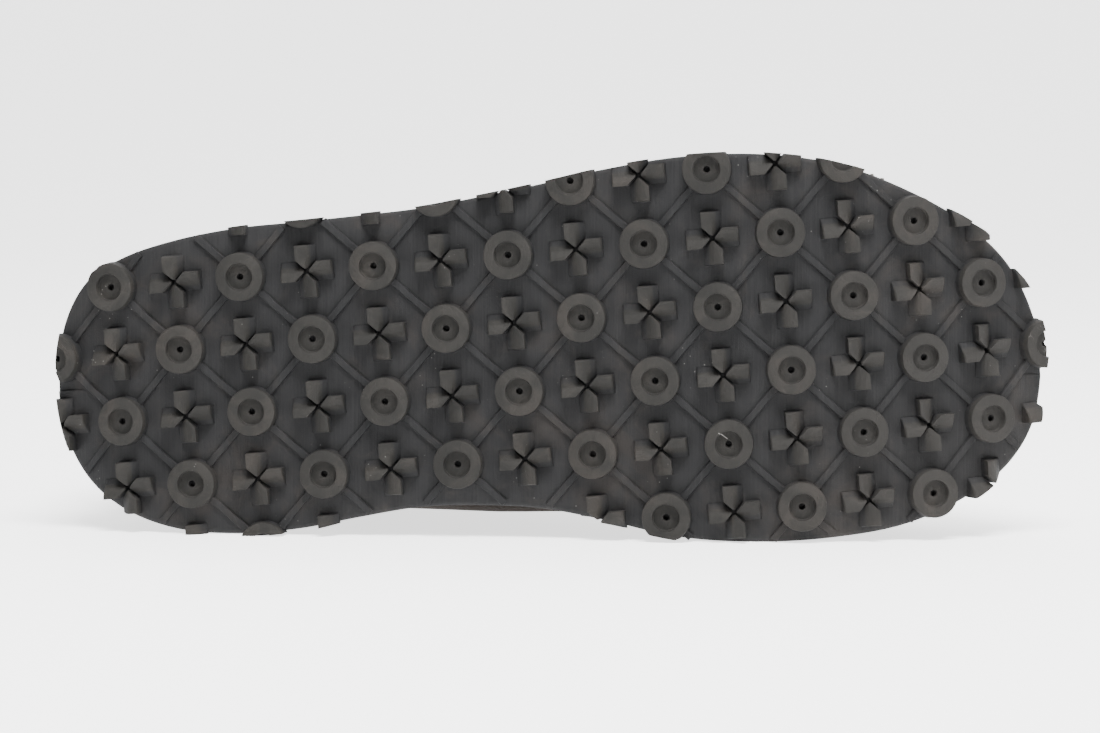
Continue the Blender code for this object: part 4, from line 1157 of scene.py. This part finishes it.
def make_lace_set(cord):
    rows = EYELET_ROWS + HOOK_ROWS
    bar_row = rows[0] - LACE_ROW_MARGIN
    runs = [("lace_low", "lace_bar", [lace_path(bar_row, bar_row, 1, 0.0)])]
    for number, (low, high) in enumerate(zip(rows, rows[1:]), start=1):
        margin = LACE_ROW_MARGIN * (high - low)
        sides = ((1, 0.0), (-1, LACE_HEIGHT * 1.05))
        pair = [lace_path(low + margin, high - margin, side, lift) for side, lift in sides]
        runs.append((f"lace_cross_{number}", f"lace_crossing_{number}", pair))
    for name, node, paths in runs:
        laces, uvs = Solids(), []
        for path, outs in paths:
            rings, ring_uvs = ribbon(path, outs, LACE_WIDTH / 2, LACE_HEIGHT / 2)
            laces.add(*loft(rings))
            uvs += ring_uvs
        piece(name, laces.points, laces.faces, cord, [node], uvs=uvs)


def placed(obj, name, matrix, material, replaces=()):
    """A primitive moved to its place in the boot's own frame, then finished at the world's origin."""
    obj.name = name
    obj.data.name = name
    obj.data.transform(POSE @ matrix)
    obj.data.materials.append(material)
    obj.data.shade_smooth()
    obj.data.set_sharp_from_angle(angle=math.radians(45))
    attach(obj, "root")
    if replaces:
        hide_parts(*replaces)


def make_eyelet(name, matrix, metal):
    bpy.ops.object.select_all(action="DESELECT")
    outer, inner = EYELET_DIAMETER / 2, EYELET_HOLE / 2
    bpy.ops.mesh.primitive_torus_add(
        major_segments=40, minor_segments=16,
        major_radius=(outer + inner) / 2, minor_radius=(outer - inner) / 2,
    )
    ring = bpy.context.object
    for vertex in ring.data.vertices:
        vertex.co.z *= EYELET_THICKNESS / (outer - inner)
        vertex.co.z += EYELET_THICKNESS / 2
    placed(ring, "ring_" + name, matrix, metal, [name])


def make_hook(name, matrix, metal):
    hook = raw_object("open_" + name, *hook_shape())
    placed(hook, "open_" + name, matrix, metal, [name])
    soften(hook, 0.35 * MM, 3, 25)
    bpy.ops.object.select_all(action="DESELECT")
    bpy.ops.mesh.primitive_uv_sphere_add(segments=20, ring_count=10, radius=RIVET_RADIUS)
    rivet = bpy.context.object
    for vertex in rivet.data.vertices:
        vertex.co.z = vertex.co.z * RIVET_FLATNESS + HOOK_METAL
        vertex.co.x -= RIVET_BACK * HOOK_LENGTH
    placed(rivet, "rivet_" + name, matrix, metal)


def make_metalwork(metal):
    seat = SEAT_GAP + EYESTAY_THICKNESS
    for kind, rows, make in (("eyelet", EYELET_ROWS, make_eyelet), ("hook", HOOK_ROWS, make_hook)):
        for side, side_name in ((1, "medial"), (-1, "lateral")):
            for number, row in enumerate(rows, start=1):
                make(f"{kind}_{side_name}_{number}", wall_matrix(row, side * LACE_COLUMN, seat), metal)


def make_tape_loop(cord):
    """The pull tab: a folded tape, sewn down at its foot."""
    low = TAB_THICKNESS / 2 + SEAT_GAP
    clear = CUFF_PAD + SEAT_GAP + low
    rim, top = (row_above_rim(SEAT_COLUMN, height) for height in (CUFF_RIM, CUFF_RIM + TAB_STAND))
    places = (
        (CUFF_ROW - 0.35, low), (CUFF_ROW - 0.10, 0.6 * clear + 0.4 * low), (CUFF_ROW + 0.12, clear),
        (CUFF_ROW + 0.60, clear), (rim, clear), (top, 0.7 * clear),
    )
    knots = [surface(row, SEAT_COLUMN, offset) for row, offset in places]
    path = [here.lerp(after, n / 4) for here, after in zip(knots, knots[1:]) for n in range(4)] + knots[-1:]
    rings, uvs = ribbon(path, [Vector((-1, 0, 0.1))] * len(path), TAB_WIDTH / 2, TAB_THICKNESS / 2, False)
    points, faces = loft(rings)
    piece("tape_loop", points, faces, cord, ["pull_tab"], uvs=uvs)


def stitch_line(name, places, thread):
    """A row of short stitches along places (row, column, offset) on the boot."""
    line = [boot_surface(row, column, offset) for row, column, offset in places]
    outs = [skin_normal(row, column_share(row, column)) for row, column, _ in places]
    lengths = [0.0]
    for here, after in zip(line, line[1:]):
        lengths.append(lengths[-1] + (after - here).length)

    def at(distance):
        n = min(max(int(np.searchsorted(lengths, distance)) - 1, 0), len(line) - 2)
        share = (distance - lengths[n]) / max(lengths[n + 1] - lengths[n], 1e-9)
        return line[n].lerp(line[n + 1], share), outs[n].lerp(outs[n + 1], share).normalized()

    stitches = Solids()
    for n in range(int(lengths[-1] / STITCH_PITCH)):
        start, end = (n + STITCH_GAP) * STITCH_PITCH, (n + 1 - STITCH_GAP) * STITCH_PITCH
        rings = []
        for share, height, size in STITCH_SHAPE:
            place = start + (end - start) * share
            spot, out = at(place)
            near, _ = at(max(0.0, place - 0.4 * MM))
            ahead = (spot - near).normalized() if (spot - near).length > 1e-7 else Vector((1, 0, 0))
            across = ahead.cross(out).normalized()
            middle = spot + out * height * MM
            turns = [2 * math.pi * k / STITCH_SIDES for k in range(STITCH_SIDES)]
            rings.append([
                middle + (across * math.cos(t) + out * math.sin(t)) * STITCH_RADIUS * size for t in turns
            ])
        stitches.add(*loft(rings))
    piece(name, stitches.points, stitches.faces, thread)


def make_stitches(thread):
    cap_face = SEAT_GAP + TOE_CAP_THICKNESS
    stay_face = SEAT_GAP + EYESTAY_THICKNESS
    both = fine_columns(-SEAT_COLUMN, SEAT_COLUMN)
    along = fine_rows(THROAT_ROW - 0.85, COLLAR_ROW - 0.12, 6)
    inside = fine_rows(THROAT_ROW + 0.1, COLLAR_ROW - 0.12, 6)
    below_cuff = fine_columns(EYESTAY_COLUMN + 0.1, SEAT_COLUMN - 1.3)
    seam = fine_columns(EYESTAY_COLUMN + 0.15, RAND_COLUMN + 0.2, 6)
    turns = [2 * math.pi * n / 64 for n in range(65)]
    lines = []
    for row in (TOE_CAP_ROW - 0.12, TOE_CAP_ROW - 0.26):
        lines.append([(row, c, cap_face) for c in both if abs(c) < RAND_COLUMN - 0.1])
    for side in (1, -1):
        for column in (EYESTAY_COLUMN - 0.16, EYESTAY_COLUMN - 0.42):
            lines.append([(row, side * column, stay_face) for row in along])
        lines.append([(row, side * (THROAT_COLUMN + 0.16), stay_face) for row in inside])
        lines.append([(CUFF_ROW - 0.12, side * c, 0.0) for c in below_cuff])
        for aside in (0.07, 0.15):
            lines.append([(SEAM_ROW + SEAM_LEAN * (c - EYESTAY_COLUMN) + aside, side * c, 0.0) for c in seam])
        for (row, column, half_rows, half_columns), reach in ((ANKLE_PAD, 1.06), (DRAIN_WINDOW, 1.09)):
            up, out = reach * half_rows, reach * half_columns
            lines.append([(row + up * math.sin(a), side * (column + out * math.cos(a)), 0.0) for a in turns])
    cross = fine_columns(-EYESTAY_COLUMN + 0.4, EYESTAY_COLUMN - 0.4)
    lines.append([(THROAT_ROW - 0.85, c, stay_face) for c in cross])
    for number, places in enumerate(lines, start=1):
        stitch_line(f"stitches_{number}", places, thread)


def maths(operation, swapped=False):
    """A method for Wire that puts two values into one maths node."""

    def method(self, other):
        node = self.paint.tree.nodes.new("ShaderNodeMath")
        node.operation = operation
        for socket, value in zip(node.inputs, (other, self) if swapped else (self, other)):
            self.paint.join(value, socket)
        return Wire(self.paint, node.outputs[0])

    return method


class Wire:
    """A value in a shader, so that sums of values are written as plain arithmetic."""

    def __init__(self, paint, socket):
        self.paint = paint
        self.socket = socket

    __add__, __radd__ = maths("ADD"), maths("ADD", True)
    __sub__, __rsub__ = maths("SUBTRACT"), maths("SUBTRACT", True)
    __mul__, __rmul__ = maths("MULTIPLY"), maths("MULTIPLY", True)
    __pow__ = maths("POWER")
    most, least = maths("MAXIMUM"), maths("MINIMUM")


class Paint:
    """One material and the few kinds of nodes that the boot's materials are made of."""

    def __init__(self, name, roughness, metallic=0.0, shine=0.5):
        self.material = bpy.data.materials.new(name)
        self.material.use_nodes = True
        self.tree = self.material.node_tree
        self.shader = self.tree.nodes["Principled BSDF"]
        self.shader.inputs["Roughness"].default_value = roughness
        self.shader.inputs["Metallic"].default_value = metallic
        self.shader.inputs["Specular IOR Level"].default_value = shine
        self.place = self.node("ShaderNodeTexCoord", {}, {}, "Object")

    def join(self, value, socket):
        if isinstance(value, Wire):
            self.tree.links.new(value.socket, socket)
        else:
            socket.default_value = value

    def node(self, kind, settings, sockets, output=0):
        made = self.tree.nodes.new(kind)
        for name, value in settings.items():
            setattr(made, name, value)
        for name, value in sockets.items():
            self.join(value, made.inputs[name])
        return Wire(self, made.outputs[output])

    def stretched(self, scale, turn=(0.0, 0.0, 0.0)):
        """Object places, turned and scaled."""
        sockets = {"Vector": self.place, "Scale": scale, "Rotation": turn}
        return self.node("ShaderNodeMapping", {}, sockets)

    def noise(self, scale, detail=4.0, rough=0.55, place=None, warp=0.0):
        sockets = {"Vector": place or self.place, "Scale": scale, "Detail": detail, "Roughness": rough}
        return self.node("ShaderNodeTexNoise", {}, {**sockets, "Distortion": warp})

    def cells(self, scale, feature="F1", random=1.0):
        sockets = {"Vector": self.place, "Scale": scale, "Randomness": random}
        return self.node("ShaderNodeTexVoronoi", {"feature": feature}, sockets)

    def bands(self, scale, direction="X", place=None):
        settings = {"wave_type": "BANDS", "bands_direction": direction}
        sockets = {"Vector": place or self.place, "Scale": scale, "Distortion": 0.0}
        return self.node("ShaderNodeTexWave", settings, sockets, 1)

    def weave(self, scale):
        """Bands both ways: 1 in the middle of small squares, 0 between them."""
        return self.bands(scale) * self.bands(scale, "Y")

    def ramp(self, value, low, high):
        """0 at low, 1 at high, which may be the lower number, with a smooth step between them."""
        sockets = {"Value": value, "From Min": low, "From Max": high}
        return self.node("ShaderNodeMapRange", {"interpolation_type": "SMOOTHSTEP"}, sockets)

    def attribute(self, name):
        return self.node("ShaderNodeAttribute", {"attribute_name": name}, {}, "Fac")

    def axis(self, number, place=None):
        return self.node("ShaderNodeSeparateXYZ", {}, {"Vector": place or self.place}, number)

    def spot(self, middle, radius):
        """1 near a place (along X, up Z) of the sole, fading to 0 at radius."""
        away = (self.axis(0) - middle[0]) ** 2.0 + (self.axis(2) - middle[1]) ** 2.0
        return self.ramp(away, radius * radius, 0.3 * radius * radius)

    def line(self, start, end, half_width):
        """1 on a straight scratch between two places (along X, up Z) of the sole."""
        length = math.hypot(end[0] - start[0], end[1] - start[1])
        ahead = ((end[0] - start[0]) / length, (end[1] - start[1]) / length)
        out, up = self.axis(0) - start[0], self.axis(2) - start[1]
        along = out * ahead[0] + up * ahead[1]
        aside = out * ahead[1] - up * ahead[0]
        past = (along * -1.0).most(along - length).most(0.0)
        away = aside ** 2.0 + past ** 2.0
        return self.ramp(away, half_width * half_width, 0.2 * half_width * half_width)

    def blend(self, factor, one, other):
        sockets = {0: factor, 6: self.colour(one), 7: self.colour(other)}
        return self.node("ShaderNodeMix", {"data_type": "RGBA"}, sockets, 2)

    @staticmethod
    def colour(value):
        return value if isinstance(value, Wire) else (*value, 1.0)

    def finish(self, colour, roughness=None, height=None, depth=0.001, metallic=None):
        self.join(self.colour(colour), self.shader.inputs["Base Color"])
        if roughness is not None:
            self.join(roughness, self.shader.inputs["Roughness"])
        if metallic is not None:
            self.join(metallic, self.shader.inputs["Metallic"])
        if height is not None:
            sockets = {"Height": height, "Distance": depth, "Strength": 1.0}
            self.join(self.node("ShaderNodeBump", {}, sockets), self.shader.inputs["Normal"])
        return self.material


def tread_rubber():
    """Moulded rubber: tool marks across the plate, dusty worn lug faces, and a painted highlight that makes
    the lug faces and the dust paler towards the toe.
    """
    paint = Paint("tread_rubber", 0.8, shine=0.2)
    tip = paint.attribute("tip")
    # ahead rises towards the toe and carries the painted highlight of the lit toe spring; low rises towards
    # the boot's lowest, medial edge
    ahead = paint.ramp(paint.axis(0), 0.03, 0.16)
    low = paint.ramp(paint.axis(2), 0.075, 0.012)
    marks = paint.noise(1.0, 3.0, 0.6, paint.stretched((2300.0, 60.0, 45.0)))
    fine = paint.noise(2600.0, 3.0, 0.7)
    patches = paint.noise(24.0, 5.0, 0.6, warp=0.5)
    cloudy = paint.noise(95.0, 5.0, 0.65, warp=0.8)
    specks = paint.ramp(paint.cells(470.0), 0.13, 0.05) * paint.ramp(paint.noise(60.0, 3.0), 0.55, 0.68)
    base = paint.blend(patches, (0.0080, 0.0081, 0.0086), (0.0120, 0.0120, 0.0126))
    base = paint.blend(paint.ramp(marks, 0.35, 0.8) * 0.5, base, (0.0195, 0.0192, 0.0195))
    worn = paint.blend(paint.ramp(cloudy, 0.3, 0.7), (0.0122, 0.0117, 0.0106), (0.0195, 0.0182, 0.0162))
    # Worn faces paler towards the toe: a painted highlight where the toe spring catches the light
    worn = paint.blend(ahead * 0.5, worn, (0.021, 0.0196, 0.0181))
    tops = paint.ramp(tip, 0.35, 0.55)
    colour = paint.blend(tops * 0.9, base, worn)
    brown = paint.ramp(cloudy + patches, 0.98, 1.3)
    colour = paint.blend(brown * 0.4, colour, (0.026, 0.0212, 0.0178))
    # Dust in random patches, heavier towards the toe, plus a pale patch at the toe's low corner: partly real
    # dust, partly a painted highlight of the lit toe
    dust = paint.ramp(patches + fine * 0.3, 0.62, 0.95) * (0.15 + ahead * 0.15) + ahead * low * 0.1
    colour = paint.blend(dust.least(1.0) * 0.5, colour, (0.075, 0.067, 0.060))
    colour = paint.blend(specks * 0.5, colour, (0.20, 0.195, 0.185))
    scratch = paint.line((0.0592, 0.0357), (0.0618, 0.0338), 0.00016)
    tears = paint.ramp(paint.cells(430.0, "DISTANCE_TO_EDGE"), 0.06, 0.015)
    torn = paint.spot((0.1625, 0.0645), 0.0052) * tears * paint.ramp(cloudy, 0.45, 0.6)
    colour = paint.blend(scratch.most(torn) * 0.8, colour, (0.26, 0.25, 0.24))
    roughness = 0.76 - paint.ramp(cloudy, 0.4, 0.8) * 0.12 + dust * 0.1
    height = marks * 0.5 + fine * 0.35 + cloudy * 0.7 + tops * paint.ramp(cloudy, 0.55, 0.62) * 0.25
    return paint.finish(colour, roughness, height, 0.00025)


def side_foam():
    paint = Paint("midsole_foam", 0.8, shine=0.18)
    grain = paint.noise(1900.0, 3.0, 0.7)
    patches = paint.noise(30.0, 5.0, 0.6)
    lines = paint.noise(1.0, 4.0, 0.6, paint.stretched((60.0, 420.0, 420.0)))
    scuffs = paint.ramp(lines, 0.6, 0.72)
    colour = paint.blend(patches, (0.024, 0.0225, 0.021), (0.038, 0.0355, 0.0325))
    colour = paint.blend(scuffs * 0.45, colour, (0.09, 0.082, 0.072))
    return paint.finish(colour, 0.72 + grain * 0.16, grain + patches * 0.8 - scuffs * 0.4, 0.0003)


def waxed_hide(paint, roughness, dark, light, dusty):
    """Waxed nubuck: grain, pull-up tones, scuffs and dust near the sole. Gives colour, roughness, height."""
    pebble = paint.cells(880.0, "SMOOTH_F1")
    wrinkle = paint.noise(170.0, 6.0, 0.62, paint.stretched((1.0, 1.6, 1.0)), warp=1.2)
    tone = paint.noise(17.0, 5.0, 0.6, warp=0.5)
    nap = paint.noise(3200.0, 2.0, 0.7)
    lines = paint.noise(1.0, 5.0, 0.65, paint.stretched((900.0, 70.0, 160.0), (0.2, 0.5, 0.4)))
    scuffs = paint.ramp(lines, 0.66, 0.73) * paint.ramp(tone, 0.48, 0.62)
    colour = paint.blend(paint.ramp(tone + pebble * 0.25, 0.35, 0.8), dark, light)
    colour = paint.blend(paint.ramp(pebble, 0.45, 0.9) * 0.5, colour, tuple(0.5 * v for v in dark))
    dust = paint.ramp(paint.axis(1), -0.045, -0.105) * paint.ramp(wrinkle + nap * 0.4, 0.55, 1.0)
    colour = paint.blend(dust * 0.45, colour, dusty)
    colour = paint.blend(scuffs * 0.4, colour, tuple(2.2 * v for v in light))
    height = wrinkle * 0.9 - pebble * 0.55 + nap * 0.12 - scuffs * 0.15
    return colour, roughness + nap * 0.18 + dust * 0.2, height


def stay_hide():
    paint = Paint("stay_hide", 0.62, shine=0.18)
    brown = (0.0064, 0.0046, 0.0034), (0.0140, 0.0100, 0.0072), (0.040, 0.033, 0.026)
    return paint.finish(*waxed_hide(paint, 0.54, *brown), 0.00055)


def body_hide():
    """The upper's hide, with its vamp seam, a sewn pad over the ankle and a mesh drain window."""
    paint = Paint("brown_hide", 0.62, shine=0.18)
    brown = (0.0100, 0.0058, 0.0037), (0.0250, 0.0154, 0.0100), (0.052, 0.042, 0.032)
    colour, roughness, leather = waxed_hide(paint, 0.52, *brown)
    row, side = paint.attribute("row"), paint.attribute("side")

    def oval(shape):
        up = (row - shape[0]) * (1.0 / shape[2])
        across = (side - shape[1]) * (1.0 / shape[3])
        return (up ** 2.0 + across ** 2.0) ** 0.5

    def groove(value, middle, half_width):
        away = paint.node("ShaderNodeMath", {"operation": "ABSOLUTE"}, {0: value - middle})
        return paint.ramp(away, half_width, 0.0)

    pad, drain = oval(ANKLE_PAD), oval(DRAIN_WINDOW)
    in_pad, in_drain = paint.ramp(pad, 1.01, 0.99), paint.ramp(drain, 1.01, 0.985)
    seam_place = row - (side - EYESTAY_COLUMN) * SEAM_LEAN
    behind = paint.ramp(seam_place, SEAM_ROW - 0.012, SEAM_ROW + 0.012) * paint.ramp(side, 3.9, 4.0)
    seams = groove(seam_place, SEAM_ROW, 0.03) * paint.ramp(side, 3.9, 4.0)
    seams = seams.most(groove(pad, 1.0, 0.025)).most(groove(drain, 1.0, 0.035))
    holes = paint.ramp(paint.weave(250.0), 0.4, 0.7)
    pattern = paint.weave(105.0)
    padded = paint.blend(pattern, (0.0095, 0.0088, 0.0082), (0.021, 0.0195, 0.018))
    meshed = paint.blend(holes, (0.020, 0.0185, 0.017), (0.0025, 0.0025, 0.0025))
    colour = paint.blend(behind * 0.35, colour, (0.0058, 0.0043, 0.0034))
    colour = paint.blend(in_pad * 0.75, colour, padded)
    colour = paint.blend(in_drain, colour, meshed)
    colour = paint.blend(seams * 0.85, colour, (0.004, 0.0034, 0.003))
    height = leather * (1.0 - in_pad * 0.7) * (1.0 - in_drain) + in_pad * pattern * 0.6
    height = height - in_drain * (0.6 + holes * 0.9) + behind * 0.8 - seams * 1.6
    return paint.finish(colour, roughness + in_pad * 0.15 + in_drain * 0.2, height, 0.0006)


def guard_rubber():
    paint = Paint("guard_rubber", 0.6, shine=0.18)
    studs = paint.cells(620.0, "SMOOTH_F1", 0.7)
    fine = paint.noise(2400.0, 3.0, 0.7)
    patches = paint.noise(34.0, 5.0, 0.6, warp=0.4)
    lines = paint.noise(1.0, 5.0, 0.6, paint.stretched((120.0, 800.0, 90.0), (0.3, 0.2, 0.6)))
    scuffs = paint.ramp(lines, 0.6, 0.7)
    colour = paint.blend(patches, (0.0125, 0.012, 0.0116), (0.020, 0.019, 0.018))
    colour = paint.blend(scuffs * 0.45, colour, (0.065, 0.060, 0.055))
    height = fine * 0.2 + patches * 0.3 - studs * 0.8
    return paint.finish(colour, 0.5 + fine * 0.2 + scuffs * 0.15, height, 0.0006)


def knit(name, dark, light, scale):
    """A close knitted mesh over foam, with small round openings in rows."""
    paint = Paint(name, 0.95)
    along = paint.bands(scale, "Y", paint.stretched((1.0, 1.0, 1.0), (0.785, 0.3, 0.785)))
    openings = paint.ramp(paint.bands(scale) * along, 0.18, 0.5)
    fuzz = paint.noise(3000.0, 2.0, 0.7)
    tone = paint.noise(28.0, 4.0, 0.6)
    colour = paint.blend(openings, dark, light)
    colour = paint.blend(paint.ramp(tone, 0.45, 0.75) * 0.35, colour, tuple(1.7 * v for v in light))
    return paint.finish(colour, 0.85 + fuzz * 0.1, openings + fuzz * 0.35, 0.0005)


def braided(name, dark, light):
    """A flat braid, drawn on its own across and along places."""
    paint = Paint(name, 0.85)
    here = paint.node("ShaderNodeUVMap", {"uv_map": "along"}, {})
    across, along = paint.axis(0, here), paint.axis(1, here)
    left, right = (
        paint.node("ShaderNodeMath", {"operation": "SINE"}, {0: (along + across * lean) * 3900.0})
        for lean in (1.1, -1.1)
    )
    braid = (left.most(right) + 1.0) * 0.5
    fuzz = paint.noise(2800.0, 2.0, 0.7)
    fleck = paint.ramp(left * right, 0.3, 0.8)
    colour = paint.blend(braid, dark, light)
    colour = paint.blend(fleck * 0.3, colour, tuple(2.2 * v for v in light))
    return paint.finish(colour, 0.8 + fuzz * 0.15, braid + fuzz * 0.3, 0.0004)


def dull_metal():
    paint = Paint("hook_metal", 0.38, metallic=1.0)
    brushed = paint.noise(1.0, 3.0, 0.6, paint.stretched((300.0, 3000.0, 600.0)))
    worn = paint.ramp(paint.noise(330.0, 4.0, 0.6), 0.6, 0.8)
    colour = paint.blend(worn, (0.115, 0.108, 0.10), (0.21, 0.20, 0.185))
    return paint.finish(colour, 0.36 + brushed * 0.16 - worn * 0.04, brushed + worn * 0.2, 0.00006, 0.95)


def sewing_thread():
    paint = Paint("sewing_thread", 0.8)
    twist = paint.bands(360.0, "DIAGONAL")
    colour = paint.blend(twist, (0.06, 0.052, 0.044), (0.13, 0.115, 0.10))
    return paint.finish(colour, 0.72 + twist * 0.1, twist, 0.0002)


def sweep_paper():
    """White studio paper, lit through from behind so that it stays white in the picture."""
    paint = Paint("sweep_paper", 0.9)
    paint.shader.inputs["Emission Color"].default_value = (1.0, 1.0, 1.0, 1.0)
    paint.shader.inputs["Emission Strength"].default_value = PAPER_GLOW
    fine = paint.noise(300.0, 3.0, 0.5)
    return paint.finish(paint.blend(fine, (0.885, 0.885, 0.885), (0.9, 0.9, 0.9)))


def area_light(name, place, target, size, power):
    light = bpy.data.lights.new(name, "AREA")
    light.shape = "RECTANGLE"
    light.size, light.size_y = size
    light.energy = power
    lamp = bpy.data.objects.new(name, light)
    bpy.context.scene.collection.objects.link(lamp)
    lamp.location = place
    lamp.rotation_euler = (Vector(target) - Vector(place)).to_track_quat("-Z", "Y").to_euler()


def make_stage():
    """A pale sweep: a level floor that turns up into a backdrop behind the boot."""
    bpy.ops.object.select_all(action="DESELECT")
    bpy.ops.mesh.primitive_plane_add(size=1.0, location=(0.0, 0.0, 0.0))
    sweep = bpy.context.object
    sweep.name = "sweep"
    rows = [(SWEEP_FRONT, 0.0)]
    for n in range(SWEEP_TURN_STEPS + 1):
        turn = math.pi / 2 * n / SWEEP_TURN_STEPS
        rows.append((SWEEP_TURN_START + SWEEP_RADIUS * math.sin(turn), SWEEP_RADIUS * (1 - math.cos(turn))))
    rows.append((SWEEP_TURN_START + SWEEP_RADIUS, SWEEP_TOP))
    points = [(x, y, z) for y, z in rows for x in (-SWEEP_HALF_WIDTH, SWEEP_HALF_WIDTH)]
    faces = [(2 * n, 2 * n + 1, 2 * n + 3, 2 * n + 2) for n in range(len(rows) - 1)]
    sweep.data.clear_geometry()
    sweep.data.from_pydata(points, [], faces)
    sweep.data.materials.append(sweep_paper())
    sweep.data.shade_smooth()
    world = bpy.data.worlds.new("studio")
    world.use_nodes = True
    background = world.node_tree.nodes["Background"].inputs
    background["Color"].default_value = (1.0, 1.0, 1.0, 1.0)
    background["Strength"].default_value = WORLD_LIGHT
    bpy.context.scene.world = world
    area_light("key", (0.2, -0.85, 1.6), (0.0, 0.0, 0.05), (1.0, 0.6), KEY_LIGHT)
    area_light("toe_side", (1.35, -0.75, 0.7), (0.05, -0.05, 0.05), (0.9, 0.9), TOE_LIGHT)
    area_light("above", (0.0, 0.35, 1.7), (0.0, 0.1, 0.0), (2.2, 1.6), TOP_LIGHT)


def make_camera():
    """The photograph's view, in the boot's own frame, laid down with the boot."""
    turned = Matrix.Rotation(-CAMERA_PITCH, 3, "X") @ Matrix.Rotation(CAMERA_YAW, 3, "Y")
    right, down, forward = (Vector(row) for row in turned)
    place = Vector((CAMERA_AIM, 0, 0)) - forward * CAMERA_DISTANCE
    turn = Matrix((right, -down, -forward)).transposed().to_4x4()
    camera = bpy.data.cameras.new("view")
    camera.sensor_width = 36.0
    camera.lens = CAMERA_LENS
    camera.clip_start = 0.05
    seat = bpy.data.objects.new("view", camera)
    bpy.context.scene.collection.objects.link(seat)
    seat.matrix_world = POSE @ Matrix.Translation(place) @ turn
    bpy.context.scene.camera = seat


rubber = tread_rubber()
hide = body_hide()
stay = stay_hide()
guard = guard_rubber()
padding = knit("padding", (0.0085, 0.0082, 0.008), (0.024, 0.023, 0.022), 125.0)
lining = knit("lining", (0.026, 0.025, 0.024), (0.070, 0.067, 0.064), 150.0)
cord = braided("cord", (0.013, 0.0105, 0.0085), (0.034, 0.0285, 0.023))
metal = dull_metal()

make_tread(rubber)
make_side(side_foam())
make_footbed(lining)
make_body(hide, lining)
make_cap(guard)
make_counter(guard)
make_stay(stay)
make_tongue_pad(padding)
make_collar(padding)
make_metalwork(metal)
make_lace_set(cord)
make_tape_loop(cord)
make_stitches(sewing_thread())
make_stage()
make_camera()
